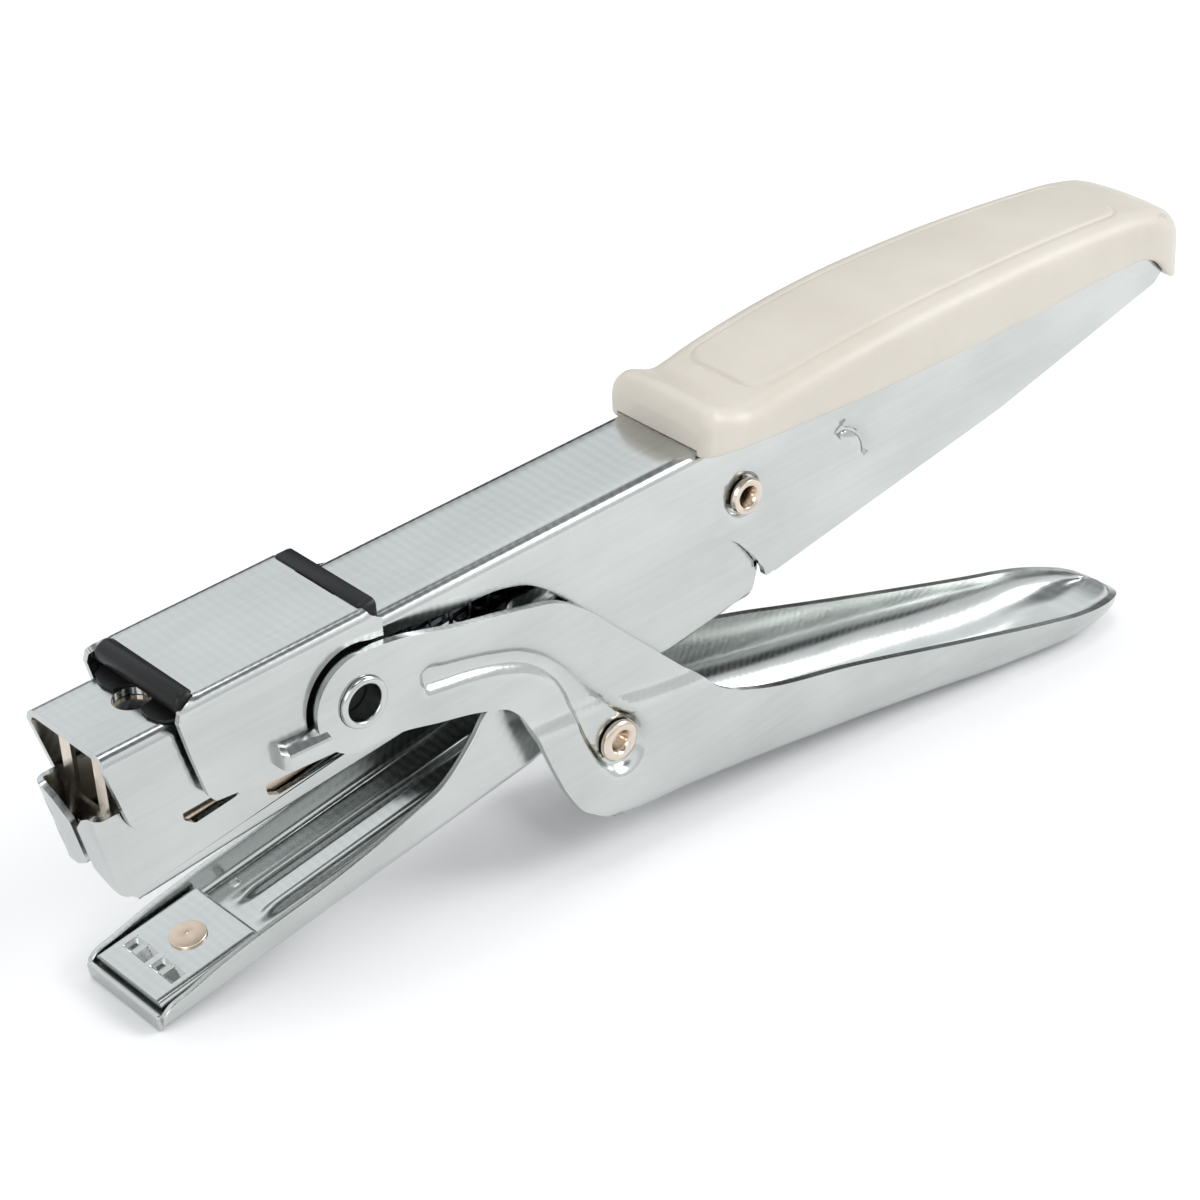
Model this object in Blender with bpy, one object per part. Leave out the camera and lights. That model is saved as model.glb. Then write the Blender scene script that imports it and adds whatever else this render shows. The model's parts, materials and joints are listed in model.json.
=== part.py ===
"""Hand plier stapler: sheet-steel channel, sliding hood, magazine, anvil arm and lower lever.

The tool is drawn in its own plane: x runs from the nose to the handles, z is up from the channel's top
face, and y is across, with the tool symmetric about y = 0. One empty then leans the whole tool so that it
stands on the anvil arm's front edge and on the lever's tail, with the origin under its middle.
"""
import math

import bmesh
import bpy
from mathutils import Matrix, Vector

MM = 0.001                      # the dimensions below are in millimetres

# Pivots, as (x, z) in the tool's plane.
HOOD_PIVOT = (28.9, -6.4)       # tube rivet: lever arms to hood
LEVER_PIVOT = (62.1, -28.4)     # fulcrum: lever to anvil arm
REAR_PIVOT = (84.7, -8.1)       # anvil arm and magazine to the channel

# Stance: the anvil arm's lowest front point and the lever's lowest tail point, on the table.
STAND_FRONT = (1.66, -35.135)
STAND_REAR = (139.35, -56.15)
MIDDLE_X = 80.72                # x that comes over the origin

GAP = 0.3                       # clearance between touching pieces
SHEET = 0.8                     # channel and hood steel
THIN_SHEET = 0.7                # magazine steel
LEVER_SHEET = 0.9

# Outer half widths, from the middle outwards.
TONGUE_HALF = 4.3               # magazine's rear tongue
MAGAZINE_HALF = 5.6
EAR_HALF = 5.6                  # anvil arm inside the handle
CHANNEL_HALF = 6.7
ANVIL_HALF = 6.95               # anvil arm outside the magazine
HOOD_HALF = 8.2
LEVER_HALF = 9.4
FULCRUM_SEAT = 8.9              # outer face of the lever's pressed-in seats round the fulcrum

CHANNEL_REAR = 155.2
HOOD_TOP = 2.65
TUBE_RADIUS = 2.4
FULCRUM_RADIUS = 1.6
REAR_RIVET_RADIUS = 1.6
CORE_HALF = 3.9
ROD_RADIUS = 0.7
ROD_HEIGHT = 5.95               # over the magazine's inner floor
MAGAZINE_SLOPE = math.radians(4.5)
ANVIL_SLOPE = 0.140

COLOURS = {
    "nickel": ((0.78, 0.79, 0.78), 0.25, 1.0),
    "warm_nickel": ((0.70, 0.62, 0.54), 0.25, 1.0),
    "spring_steel": ((0.45, 0.46, 0.48), 0.35, 1.0),
    "cream": ((0.66, 0.61, 0.53), 0.45, 0.0),
    "black": ((0.02, 0.02, 0.022), 0.4, 0.0),
}


def clear_scene():
    for item in list(bpy.data.objects):
        bpy.data.objects.remove(item, do_unlink=True)


def make_material(name):
    colour, roughness, metallic = COLOURS[name]
    material = bpy.data.materials.new(name)
    material.use_nodes = True
    shader = material.node_tree.nodes["Principled BSDF"]
    shader.inputs["Base Color"].default_value = (*colour, 1.0)
    shader.inputs["Roughness"].default_value = roughness
    shader.inputs["Metallic"].default_value = metallic
    return material


def at(points, x):
    """Height of a polyline of (x, z) points at x."""
    if x <= points[0][0]:
        return points[0][1]
    for (x0, z0), (x1, z1) in zip(points, points[1:]):
        if x <= x1:
            return z0 + (z1 - z0) * (x - x0) / (x1 - x0)
    return points[-1][1]


def all_x(*lists):
    """Every x used in some lists of (x, value) points, once each."""
    return sorted({round(x, 3) for points in lists for x, _ in points})


def arc(centre, radius, start, end, steps):
    """Points of an arc, angles in degrees."""
    return [(centre[0] + radius * math.cos(math.radians(start + (end - start) * i / steps)),
             centre[1] + radius * math.sin(math.radians(start + (end - start) * i / steps)))
            for i in range(steps + 1)]


def filleted(corners, steps=4):
    """Polygon with each (x, z, radius) corner turned into an arc."""
    points = []
    count = len(corners)
    for i, (x, z, radius) in enumerate(corners):
        if radius <= 0:
            points.append((x, z))
            continue
        before, after = corners[i - 1], corners[(i + 1) % count]
        ax, az = before[0] - x, before[1] - z
        bx, bz = after[0] - x, after[1] - z
        la, lb = math.hypot(ax, az), math.hypot(bx, bz)
        ax, az, bx, bz = ax / la, az / la, bx / lb, bz / lb
        half = math.acos(max(-1, min(1, ax * bx + az * bz))) / 2
        reach = min(radius / math.tan(half), 0.48 * la, 0.48 * lb)
        for s in range(steps + 1):
            t = s / steps
            px = (x + ax * reach) * (1 - t) ** 2 + 2 * x * t * (1 - t) + (x + bx * reach) * t ** 2
            pz = (z + az * reach) * (1 - t) ** 2 + 2 * z * t * (1 - t) + (z + bz * reach) * t ** 2
            points.append((px, pz))
    return points


def add_object(name, bm, material, pivot=None):
    """Links a mesh drawn in the tool's plane, with its origin on the pivot it turns about."""
    bmesh.ops.recalc_face_normals(bm, faces=bm.faces)
    origin = (pivot[0] * MM, 0, pivot[1] * MM) if pivot else (0, 0, 0)
    bmesh.ops.scale(bm, vec=(MM, MM, MM), verts=bm.verts)
    bmesh.ops.translate(bm, vec=[-v for v in origin], verts=bm.verts)
    mesh = bpy.data.meshes.new(name)
    bm.to_mesh(mesh)
    bm.free()
    mesh.materials.append(materials[material])
    item = bpy.data.objects.new(name, mesh)
    bpy.context.collection.objects.link(item)
    item.parent = stance
    item.location = origin
    return item


def smooth(item, angle=35):
    item.data.shade_smooth()
    item.data.set_sharp_from_angle(angle=math.radians(angle))


def prism(bm, outline, y0, y1):
    """Closed (x, z) outline between two y planes."""
    near = [bm.verts.new((x, y0, z)) for x, z in outline]
    far = [bm.verts.new((x, y1, z)) for x, z in outline]
    bm.faces.new(near)
    bm.faces.new(far[::-1])
    for i in range(len(outline)):
        j = (i + 1) % len(outline)
        bm.faces.new((near[j], near[i], far[i], far[j]))


def block(bm, x0, x1, y0, y1, z0, z1):
    prism(bm, [(x0, z0), (x1, z0), (x1, z1), (x0, z1)], y0, y1)


def turned(bm, profile, centre, segments=24):
    """Solid of revolution about an axis along y through centre; profile is a closed loop of (y, radius)."""
    rings = []
    for i in range(segments):
        angle = 2 * math.pi * i / segments
        rings.append([bm.verts.new((centre[0] + r * math.cos(angle), y, centre[1] + r * math.sin(angle)))
                      for y, r in profile])
    for i in range(segments):
        ring, following = rings[i], rings[(i + 1) % segments]
        for k in range(len(profile)):
            m = (k + 1) % len(profile)
            bm.faces.new((ring[k], ring[m], following[m], following[k]))


def rod(bm, centre, radius, y0, y1, segments=24):
    prism(bm, arc(centre, radius, 0, 360, segments)[:-1], y0, y1)


def sweep(bm, path, radius, sides=6):
    """Round wire along a 3D path, with flat ends."""
    rings = []
    for i, point in enumerate(path):
        ahead = path[min(i + 1, len(path) - 1)]
        behind = path[max(i - 1, 0)]
        tangent = [a - b for a, b in zip(ahead, behind)]
        length = math.sqrt(sum(t * t for t in tangent))
        tangent = [t / length for t in tangent]
        side = [0, 1, 0] if abs(tangent[1]) < 0.9 else [1, 0, 0]
        normal = [tangent[1] * side[2] - tangent[2] * side[1],
                  tangent[2] * side[0] - tangent[0] * side[2],
                  tangent[0] * side[1] - tangent[1] * side[0]]
        length = math.sqrt(sum(n * n for n in normal))
        normal = [n / length for n in normal]
        across = [tangent[1] * normal[2] - tangent[2] * normal[1],
                  tangent[2] * normal[0] - tangent[0] * normal[2],
                  tangent[0] * normal[1] - tangent[1] * normal[0]]
        rings.append([bm.verts.new([p + radius * (math.cos(a) * n + math.sin(a) * c)
                                    for p, n, c in zip(point, normal, across)])
                      for a in (2 * math.pi * k / sides for k in range(sides))])
    for ring, following in zip(rings, rings[1:]):
        for k in range(sides):
            m = (k + 1) % sides
            bm.faces.new((ring[k], ring[m], following[m], following[k]))
    bm.faces.new(rings[0][::-1])
    bm.faces.new(rings[-1])


def cutter(target, build, operation="DIFFERENCE"):
    """Boolean of the target with a hidden solid drawn by build(bm)."""
    bm = bmesh.new()
    build(bm)
    bmesh.ops.recalc_face_normals(bm, faces=bm.faces)
    bmesh.ops.scale(bm, vec=(MM, MM, MM), verts=bm.verts)
    mesh = bpy.data.meshes.new("cut")
    bm.to_mesh(mesh)
    bm.free()
    tool = bpy.data.objects.new(f"cut_{target.name}_{len(target.modifiers)}", mesh)
    bpy.context.collection.objects.link(tool)
    tool.parent = stance
    tool.hide_render = True
    tool.display_type = "WIRE"
    modifier = target.modifiers.new(operation.lower(), "BOOLEAN")
    modifier.operation = operation
    modifier.object = tool
    modifier.solver = "EXACT"


def hole(target, centre, radius, y0=-12, y1=12, segments=24):
    cutter(target, lambda bm: rod(bm, centre, radius, y0, y1, segments))


def folded_sheet(name, columns, thickness, material, pivot=None, has_floor=None):
    """Sheet through a grid of mid-surface points, one column for each x, given its thickness.

    has_floor says for each column whether the floor goes on after it; without floor the walls go on alone.
    """
    bm = bmesh.new()
    grid = [[bm.verts.new(p) for p in column] for column in columns]
    middle = len(columns[0]) // 2 - 1
    for i, (left, right) in enumerate(zip(grid, grid[1:])):
        for k in range(len(left) - 1):
            if k == middle and has_floor and not has_floor[i]:
                continue
            bm.faces.new((left[k], left[k + 1], right[k + 1], right[k]))
    item = add_object(name, bm, material, pivot)
    solidify = item.modifiers.new("thickness", "SOLIDIFY")
    solidify.thickness = thickness * MM
    solidify.offset = 0
    solidify.use_even_offset = True
    smooth(item)
    return item


def channel_column(x, half, floor, rim, bend, steps=3):
    """Section of a folded channel at x: rim, wall, bend, floor, bend, wall, rim, on the mid surface."""
    up = 1 if rim > floor else -1
    side = [(half, rim), (half, floor + up * bend)]
    for s in range(1, steps + 1):
        angle = math.pi / 2 * s / steps
        side.append((half - bend * (1 - math.cos(angle)), floor + up * bend * (1 - math.sin(angle))))
    return [(x, -y, z) for y, z in side] + [(x, y, z) for y, z in reversed(side)]


# ---- Upper handle -------------------------------------------------------------------------------

CHANNEL_RIM = [(-0.3, -2.2), (1.9, -8.0), (2.6, -9.2), (3.8, -9.9), (7.6, -10.3), (10.8, -9.4),
               (13.5, -8.6), (15.0, -2.4), (35.0, -2.3), (44.0, -3.2), (52.0, -4.5), (56.5, -8.2),
               (60.3, -10.6), (66.5, -11.1), (76.7, -11.0), (80.5, -12.0), (83.6, -13.9),
               (85.8, -16.5), (87.6, -19.8), (88.6, -20.1), (100.4, -18.5), (126.3, -14.8),
               (153.8, -8.9), (CHANNEL_REAR, -7.6)]


def upper_channel():
    half = CHANNEL_HALF - SHEET / 2
    columns = [channel_column(x, half, -SHEET / 2, rim, 1.0) for x, rim in CHANNEL_RIM]
    item = folded_sheet("upper_channel", columns, SHEET, "nickel")
    cutter(item, lambda bm: bmesh.ops.create_cone(
        bm, cap_ends=True, segments=24, radius1=2.0, radius2=2.0, depth=4,
        matrix=Matrix.Translation((8.0, 0, 0))))
    hole(item, REAR_PIVOT, REAR_RIVET_RADIUS + GAP)
    return item


GRIP_TOP = [(78.4, 5.6), (79.6, 6.9), (81.4, 6.6), (84.5, 5.2), (88.8, 5.7), (96.0, 6.3), (111.3, 6.7),
            (131.7, 6.0), (143.0, 4.4), (150.0, 2.7), (155.0, 0.7), (158.2, -1.4), (160.0, -3.8)]
GRIP_SKIRT = [(78.4, -0.4), (81.0, -0.8), (107.3, -2.3), (127.7, -3.2), (149.0, -3.8), (151.5, -4.2),
              (154.2, -6.4), (156.2, -8.9), (160.0, -9.3)]
GRIP_HALF = [(78.4, 7.5), (79.8, 8.0), (150.0, 8.0), (155.8, 7.7), (158.4, 6.3), (160.0, 4.0)]


def grip_cover():
    """Moulded cover over the handle: outer form lofted along x, less the channel it sits on."""
    stations = all_x(GRIP_TOP, GRIP_SKIRT, GRIP_HALF)
    bm = bmesh.new()
    rings = []
    for x in stations:
        half, top, skirt = at(GRIP_HALF, x), at(GRIP_TOP, x), at(GRIP_SKIRT, x)
        shoulder = min(2.6, 0.7 * (top - skirt), 0.6 * half)
        side = [(half, skirt)] + [(half - shoulder + dy, top - shoulder + dz)
                                  for dy, dz in arc((0, 0), shoulder, 0, 90, 4)]
        ring = [(x, -y, z) for y, z in side] + [(x, y, z) for y, z in reversed(side)]
        rings.append([bm.verts.new(p) for p in ring])
    for ring, following in zip(rings, rings[1:]):
        for k in range(len(ring)):
            m = (k + 1) % len(ring)
            bm.faces.new((ring[k], ring[m], following[m], following[k]))
    bm.faces.new(rings[0][::-1])
    bm.faces.new(rings[-1])
    item = add_object("grip_cover", bm, "cream")
    smooth(item)
    inner = CHANNEL_HALF + GAP
    cutter(item, lambda body: block(body, 70, CHANNEL_REAR + GAP, -inner, inner, -12, GAP))
    return item


def driver_blade():
    """Two prongs joined at the foot, hung from a tab under the nose's top face."""
    bm = bmesh.new()
    front, back = 1.45, 1.95
    top, tab_under = -1.15, -1.65
    prong_in, prong_out = 1.9, 3.8
    prism(bm, [(front, -12.6), (back, -12.6), (back, tab_under), (14.0, tab_under), (14.0, top),
               (front, top)], -4.4, 4.4)
    item = add_object("driver_blade", bm, "warm_nickel")
    cutter(item, lambda body: block(body, 0, 3.2, -prong_in, prong_in, -9.4, 0))
    for y in (-1, 1):
        cutter(item, lambda body, y=y: block(body, 0, 3.2, *sorted((y * prong_out, y * 6)), -9.4, 0))
    cutter(item, lambda body: bmesh.ops.create_cone(
        body, cap_ends=True, segments=24, radius1=2.3, radius2=2.3, depth=6,
        matrix=Matrix.Translation((8.0, 0, 0))))
    return item


def rear_rivet():
    """Small tube rivet through handle, ears and magazine tongue, flared over at both ends."""
    bm = bmesh.new()
    outside, bore, flange = CHANNEL_HALF + GAP, 0.9, 2.3
    turned(bm, [(-outside - 0.7, bore), (-outside - 0.7, flange - 0.4), (-outside, flange),
                (-outside, REAR_RIVET_RADIUS), (outside, REAR_RIVET_RADIUS), (outside, flange),
                (outside + 0.7, flange - 0.4), (outside + 0.7, bore)], REAR_PIVOT, 20)
    item = add_object("rear_rivet", bm, "warm_nickel", REAR_PIVOT)
    smooth(item)
    return item


def rear_spacer():
    """Spacer tube on the rear rivet between the magazine tongue's walls."""
    bm = bmesh.new()
    reach = TONGUE_HALF - THIN_SHEET - GAP
    turned(bm, [(-reach, REAR_RIVET_RADIUS + GAP), (-reach, 2.7), (reach, 2.7),
                (reach, REAR_RIVET_RADIUS + GAP)], REAR_PIVOT, 16)
    item = add_object("rear_spacer", bm, "spring_steel", REAR_PIVOT)
    smooth(item)
    return item


# ---- Anvil arm ----------------------------------------------------------------------------------

ANVIL_RIM = [(1.6, -33.9), (2.5, -32.8), (5.4, -31.8), (9.9, -30.6), (14.3, -29.7), (25.4, -27.9),
             (35.9, -25.3), (39.3, -24.2), (42.4, -22.0), (44.4, -20.0), (46.5, -17.2), (49.0, -16.2),
             (57.0, -15.8), (60.0, -13.2), (78.0, -12.5), (80.5, -9.0), (82.3, -6.0), (84.7, -4.7), (86.4, -5.3),
             (87.4, -8.0)]
ANVIL_LOWER = [(55.0, -28.0), (56.5, -28.6), (58.6, -31.0), (62.1, -32.4), (65.6, -30.6), (68.0, -27.4),
               (73.6, -25.2), (80.0, -24.3), (85.8, -23.4), (87.4, -20.2)]
ANVIL_FLOOR_END = 55.0


def anvil_floor(x):
    return STAND_FRONT[1] + SHEET / 2 + ANVIL_SLOPE * (x - STAND_FRONT[0])


def anvil_arm():
    """Channel open upwards; its walls step in to run inside the handle and drop to the fulcrum."""
    width = [(1.6, ANVIL_HALF), (52.0, ANVIL_HALF), (58.6, EAR_HALF), (87.4, EAR_HALF)]
    stations = all_x(ANVIL_RIM, ANVIL_LOWER, width)
    columns = []
    for x in stations:
        half, rim = at(width, x) - SHEET / 2, at(ANVIL_RIM, x)
        if x <= ANVIL_FLOOR_END:
            columns.append(channel_column(x, half, anvil_floor(x), max(rim, anvil_floor(x) + 1.3), 1.2))
            continue
        lower = at(ANVIL_LOWER, x)
        wall = [(half, rim), (half, lower + 1.2)] + [(half, lower + 1.2 * (1 - s / 3)) for s in (1, 2, 3)]
        columns.append([(x, -y, z) for y, z in wall] + [(x, y, z) for y, z in reversed(wall)])
    has_floor = [x < ANVIL_FLOOR_END for x in stations]
    item = folded_sheet("anvil_arm", columns, SHEET, "nickel", REAR_PIVOT, has_floor)
    hole(item, REAR_PIVOT, REAR_RIVET_RADIUS + GAP)
    hole(item, LEVER_PIVOT, FULCRUM_RADIUS + GAP)
    return item


RIVET_X = 10.2                  # anvil rivet, along the plate
PLATE_TOP = SHEET / 2 + 2.1     # over the middle of the anvil arm's floor


def on_plate(x, height=0.0):
    """Frame on the clinching plate's top face at x, leaning with the anvil arm."""
    return (Matrix.Translation((x, 0, anvil_floor(x) + PLATE_TOP))
            @ Matrix.Rotation(-math.atan(ANVIL_SLOPE), 4, "Y") @ Matrix.Translation((0, 0, height)))


def disc(bm, radius, depth, matrix, segments=20):
    bmesh.ops.create_cone(bm, cap_ends=True, segments=segments, radius1=radius, radius2=radius,
                          depth=depth, matrix=matrix)


def anvil_plate():
    """Clinching plate on the anvil arm's floor, with a pair of staple pockets and a sunk rivet seat."""
    thick, pocket = 1.6, 0.5
    bm = bmesh.new()
    ends = [(x, anvil_floor(x) + PLATE_TOP) for x in (2.4, 15.5)]
    prism(bm, [(x, z - thick) for x, z in ends] + ends[::-1], -5.2, 5.2)
    item = add_object("anvil_plate", bm, "nickel", REAR_PIVOT)
    surface = anvil_floor(5.8) + PLATE_TOP
    for side in (-1, 1):
        for y0, y1 in ((0.5, 2.2), (2.5, 4.3)):
            span = sorted((side * y0, side * y1))
            cutter(item, lambda b, span=span: block(b, 5.0, 6.6, *span, surface - pocket, surface + 1))
    cutter(item, lambda b: disc(b, 1.5, 8, on_plate(RIVET_X)))
    cutter(item, lambda b: disc(b, 2.4, 2.0, on_plate(RIVET_X, 1.0 - 0.4)))
    return item


def anvil_rivet():
    """Flat-headed rivet that holds the clinching plate."""
    bm = bmesh.new()
    disc(bm, 2.1, 0.4, on_plate(RIVET_X, 0.1))
    item = add_object("anvil_rivet", bm, "warm_nickel", REAR_PIVOT)
    cutter(item, lambda b: disc(b, 1.1, 1.4, on_plate(RIVET_X, -0.65)), "UNION")
    smooth(item)
    return item


def fulcrum_rivet():
    """Semi-hollow rivet through the lever and the anvil arm's ears, dished at both ends."""
    bm = bmesh.new()
    head, end, dish = FULCRUM_SEAT + GAP, FULCRUM_SEAT + 1.1, FULCRUM_SEAT - 0.6
    flange = 2.5
    turned(bm, [(-dish, 0.02), (-dish, 1.0), (-end, 1.3), (-end, flange - 0.3), (-end + 0.3, flange),
                (-head, flange), (-head, FULCRUM_RADIUS), (head, FULCRUM_RADIUS), (head, flange),
                (end - 0.3, flange), (end, flange - 0.3), (end, 1.3), (dish, 1.0), (dish, 0.02)],
           LEVER_PIVOT, 20)
    item = add_object("fulcrum_rivet", bm, "warm_nickel", LEVER_PIVOT)
    smooth(item)
    return item


def fulcrum_washer(name, side):
    """Spacer between a lever arm and the anvil arm's ear."""
    bm = bmesh.new()
    inner, outer = EAR_HALF + GAP, FULCRUM_SEAT - LEVER_SHEET - GAP
    bore = FULCRUM_RADIUS + GAP
    turned(bm, [(side * inner, bore), (side * inner, 3.0), (side * outer, 3.0), (side * outer, bore)],
           LEVER_PIVOT, 20)
    item = add_object(name, bm, "spring_steel", LEVER_PIVOT)
    smooth(item)
    return item


def return_spring():
    """Torsion spring round the fulcrum: one leg under the anvil arm, one on the lever's web."""
    wire, coil, turns, steps = 0.5, 2.9, 4, 10
    reach = 3.6
    start = math.radians(200)
    total = turns * 2 * math.pi - math.radians(40)
    path = [(LEVER_PIVOT[0] - 13.0, -reach, anvil_floor(LEVER_PIVOT[0] - 13.0) - 1.3)]
    count = int(turns * steps + 4)
    for i in range(count + 1):
        angle = start - total * i / count
        path.append((LEVER_PIVOT[0] + coil * math.cos(angle), -reach + 2 * reach * i / count,
                     LEVER_PIVOT[1] + coil * math.sin(angle)))
    path.append((LEVER_PIVOT[0] + 12.0, reach, LEVER_PIVOT[1] - 8.2))
    bm = bmesh.new()
    sweep(bm, path, wire)
    item = add_object("return_spring", bm, "spring_steel", LEVER_PIVOT)
    smooth(item, 60)
    return item


# ---- Magazine -----------------------------------------------------------------------------------

MAGAZINE_RIM = [(0.8, -7.4), (8.4, -7.9), (8.6, -12.2), (9.6, -12.8), (14.6, -12.2), (14.8, -9.6),
                (18.4, -9.9), (18.7, -14.2), (19.6, -14.7), (27.4, -14.0), (33.0, -13.5), (36.0, -11.0),
                (48.0, -9.0), (58.0, -8.0), (64.0, -9.2), (79.0, -8.6), (81.0, -5.8), (84.7, -4.4),
                (88.0, -6.0)]
MAGAZINE_FLOOR_END = 80.0


def magazine_floor(x):
    """Mid surface of the magazine's floor."""
    return -19.35 + THIN_SHEET / 2 + math.tan(MAGAZINE_SLOPE) * (x - 1.0)


def magazine_channel():
    """Channel open upwards round the staples, closed at the front by two turned-in flanges."""
    width = [(0.8, MAGAZINE_HALF), (48.0, MAGAZINE_HALF), (53.0, TONGUE_HALF), (88.0, TONGUE_HALF)]
    columns = [channel_column(x, at(width, x) - THIN_SHEET / 2, magazine_floor(x), at(MAGAZINE_RIM, x), 0.8)
               for x in all_x(MAGAZINE_RIM, width)]
    item = folded_sheet("magazine_channel", columns, THIN_SHEET, "nickel", REAR_PIVOT)
    front = [(-1.3, -7.4), (-0.55, -7.4), (1.65, -19.0), (1.0, -19.35)]
    for side in (-1, 1):
        y0, y1 = sorted((side * 0.5, side * MAGAZINE_HALF))
        cutter(item, lambda b, y0=y0, y1=y1: prism(b, front, y0, y1), "UNION")
        y0, y1 = sorted((side * (MAGAZINE_HALF - THIN_SHEET), side * MAGAZINE_HALF))
        cutter(item, lambda b, y0=y0, y1=y1: prism(
            b, [(-1.25, -7.42), (1.2, -7.42), (1.9, -18.5), (0.95, -19.0)], y0, y1), "UNION")
    exit_half = MAGAZINE_HALF - THIN_SHEET - 0.15
    cutter(item, lambda b: block(b, 1.2, 2.9, -exit_half, exit_half, -22, -17.5))
    hole(item, REAR_PIVOT, REAR_RIVET_RADIUS + GAP)
    return item


def along_magazine(x, height):
    """Point over the magazine's inner floor."""
    return x, magazine_floor(x) + THIN_SHEET / 2 + height


def magazine_bar(bm, x0, x1, low, high, half):
    prism(bm, [along_magazine(x0, low), along_magazine(x1, low), along_magazine(x1, high),
               along_magazine(x0, high)], -half, half)


def staple_core():
    """Rail inside the staples, an inverted channel on the magazine's floor."""
    bm = bmesh.new()
    magazine_bar(bm, 2.7, 49.5, GAP, 3.9, CORE_HALF)
    item = add_object("staple_core", bm, "nickel", REAR_PIVOT)
    cutter(item, lambda b: magazine_bar(b, 1.0, 60.0, -1.0, 3.3, CORE_HALF - 0.6))
    return item


def staple_strip():
    """Glued stick of staples astride the core."""
    bm = bmesh.new()
    magazine_bar(bm, 2.6, 28.0, GAP, 4.7, 4.6)
    item = add_object("staple_strip", bm, "spring_steel", REAR_PIVOT)
    cutter(item, lambda b: magazine_bar(b, 1.0, 30.0, -1.0, 4.2, CORE_HALF + 0.25))
    return item


def pusher():
    """Follower astride the core behind the staples, drilled for the guide rod."""
    bm = bmesh.new()
    magazine_bar(bm, 28.3, 37.0, GAP, 7.6, 4.6)
    item = add_object("pusher", bm, "black", REAR_PIVOT)
    cutter(item, lambda b: magazine_bar(b, 27.0, 39.0, -1.0, 4.2, CORE_HALF + GAP))
    rod_slot = ROD_RADIUS + GAP
    cutter(item, lambda b: magazine_bar(b, 27.0, 39.0, ROD_HEIGHT - rod_slot, ROD_HEIGHT + rod_slot, rod_slot))
    return item


def guide_rod():
    """Straight rod over the core that carries the pusher and its spring."""
    bm = bmesh.new()
    path = []
    for x in (20.0, 74.5):
        px, pz = along_magazine(x, ROD_HEIGHT)
        path.append((px, 0, pz))
    sweep(bm, path, ROD_RADIUS, 10)
    item = add_object("guide_rod", bm, "spring_steel", REAR_PIVOT)
    smooth(item)
    return item


def rod_anchor():
    """Folded stop across the magazine that the rod's rear end sits in."""
    half = TONGUE_HALF - THIN_SHEET - GAP
    outline = [along_magazine(71.0, GAP), along_magazine(77.0, GAP), along_magazine(77.0, 1.2),
               along_magazine(72.0, 1.2), along_magazine(72.0, 7.4), along_magazine(71.0, 7.4)]
    bm = bmesh.new()
    prism(bm, outline, -half, half)
    item = add_object("rod_anchor", bm, "nickel", REAR_PIVOT)
    rod_slot = ROD_RADIUS + GAP
    cutter(item, lambda b: magazine_bar(b, 70.0, 73.0, ROD_HEIGHT - rod_slot, ROD_HEIGHT + rod_slot, rod_slot))
    return item


def pusher_spring():
    """Compression spring on the guide rod between pusher and anchor."""
    turns, steps, radius = 12, 14, 1.5
    x0, x1 = 37.8, 70.2
    path = []
    for i in range(turns * steps + 1):
        share = i / (turns * steps)
        angle = 2 * math.pi * turns * share
        px, pz = along_magazine(x0 + (x1 - x0) * share, ROD_HEIGHT)
        path.append((px, radius * math.sin(angle), pz + radius * math.cos(angle)))
    bm = bmesh.new()
    sweep(bm, path, 0.25, 6)
    item = add_object("pusher_spring", bm, "spring_steel", REAR_PIVOT)
    smooth(item, 60)
    return item


# ---- Hood ---------------------------------------------------------------------------------------

HOOD_RIM = [(8.0, -1.0), (9.6, -7.6), (10.4, -9.4), (13.2, -10.4), (17.0, -10.8), (25.0, -11.5),
            (31.8, -12.0), (33.0, -11.4)]


def hood_cover():
    """Steel cap over the liner, with a lanced stop on each side for the lever's arms."""
    half = HOOD_HALF - THIN_SHEET / 2
    top = HOOD_TOP - THIN_SHEET / 2
    columns = [channel_column(x, half, top, rim, 0.9) for x, rim in HOOD_RIM]
    item = folded_sheet("hood_cover", columns, THIN_SHEET, "nickel", HOOD_PIVOT)
    for x0, x1 in ((7, 10.8), (31.4, 35)):
        cutter(item, lambda b, x0=x0, x1=x1: block(b, x0, x1, -7.4, 7.4, 1, 4))
    hole(item, HOOD_PIVOT, TUBE_RADIUS + GAP)
    for side in (-1, 1):
        y0, y1 = sorted((side * (HOOD_HALF - 0.5), side * (HOOD_HALF + 0.9)))
        cutter(item, lambda b, y0=y0, y1=y1: prism(
            b, [(18.8, -9.6), (19.4, -7.6), (21.8, -6.9), (22.2, -9.3), (19.4, -10.2)], y0, y1), "UNION")
    return item


def hood_liner():
    """Black liner between hood and channel, with a round front bar and a rear lip."""
    half = 7.1
    roof = HOOD_TOP - THIN_SHEET - GAP
    front_bar = filleted([(6.9, GAP, 0), (10.0, GAP, 0), (10.0, 1.2, 0), (10.5, 1.2, 0), (10.5, 2.7, 0.3),
                          (9.2, 3.1, 0.8), (7.7, 2.5, 1.0)], 3)
    outline = front_bar[3:] + front_bar[:1]
    outline = outline + [(33.2, GAP), (33.2, 2.6), (32.6, 2.9), (31.7, 2.9), (31.7, roof), (10.5, roof)]
    bm = bmesh.new()
    prism(bm, outline, -half, half)
    item = add_object("hood_liner", bm, "black", HOOD_PIVOT)
    for side in (-1, 1):
        y0, y1 = sorted((side * (CHANNEL_HALF + GAP), side * (half + 0.05)))
        cutter(item, lambda b, y0=y0, y1=y1: block(b, 12.0, 30.0, y0, y1, -2.0, 1.0), "UNION")
    return item


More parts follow.
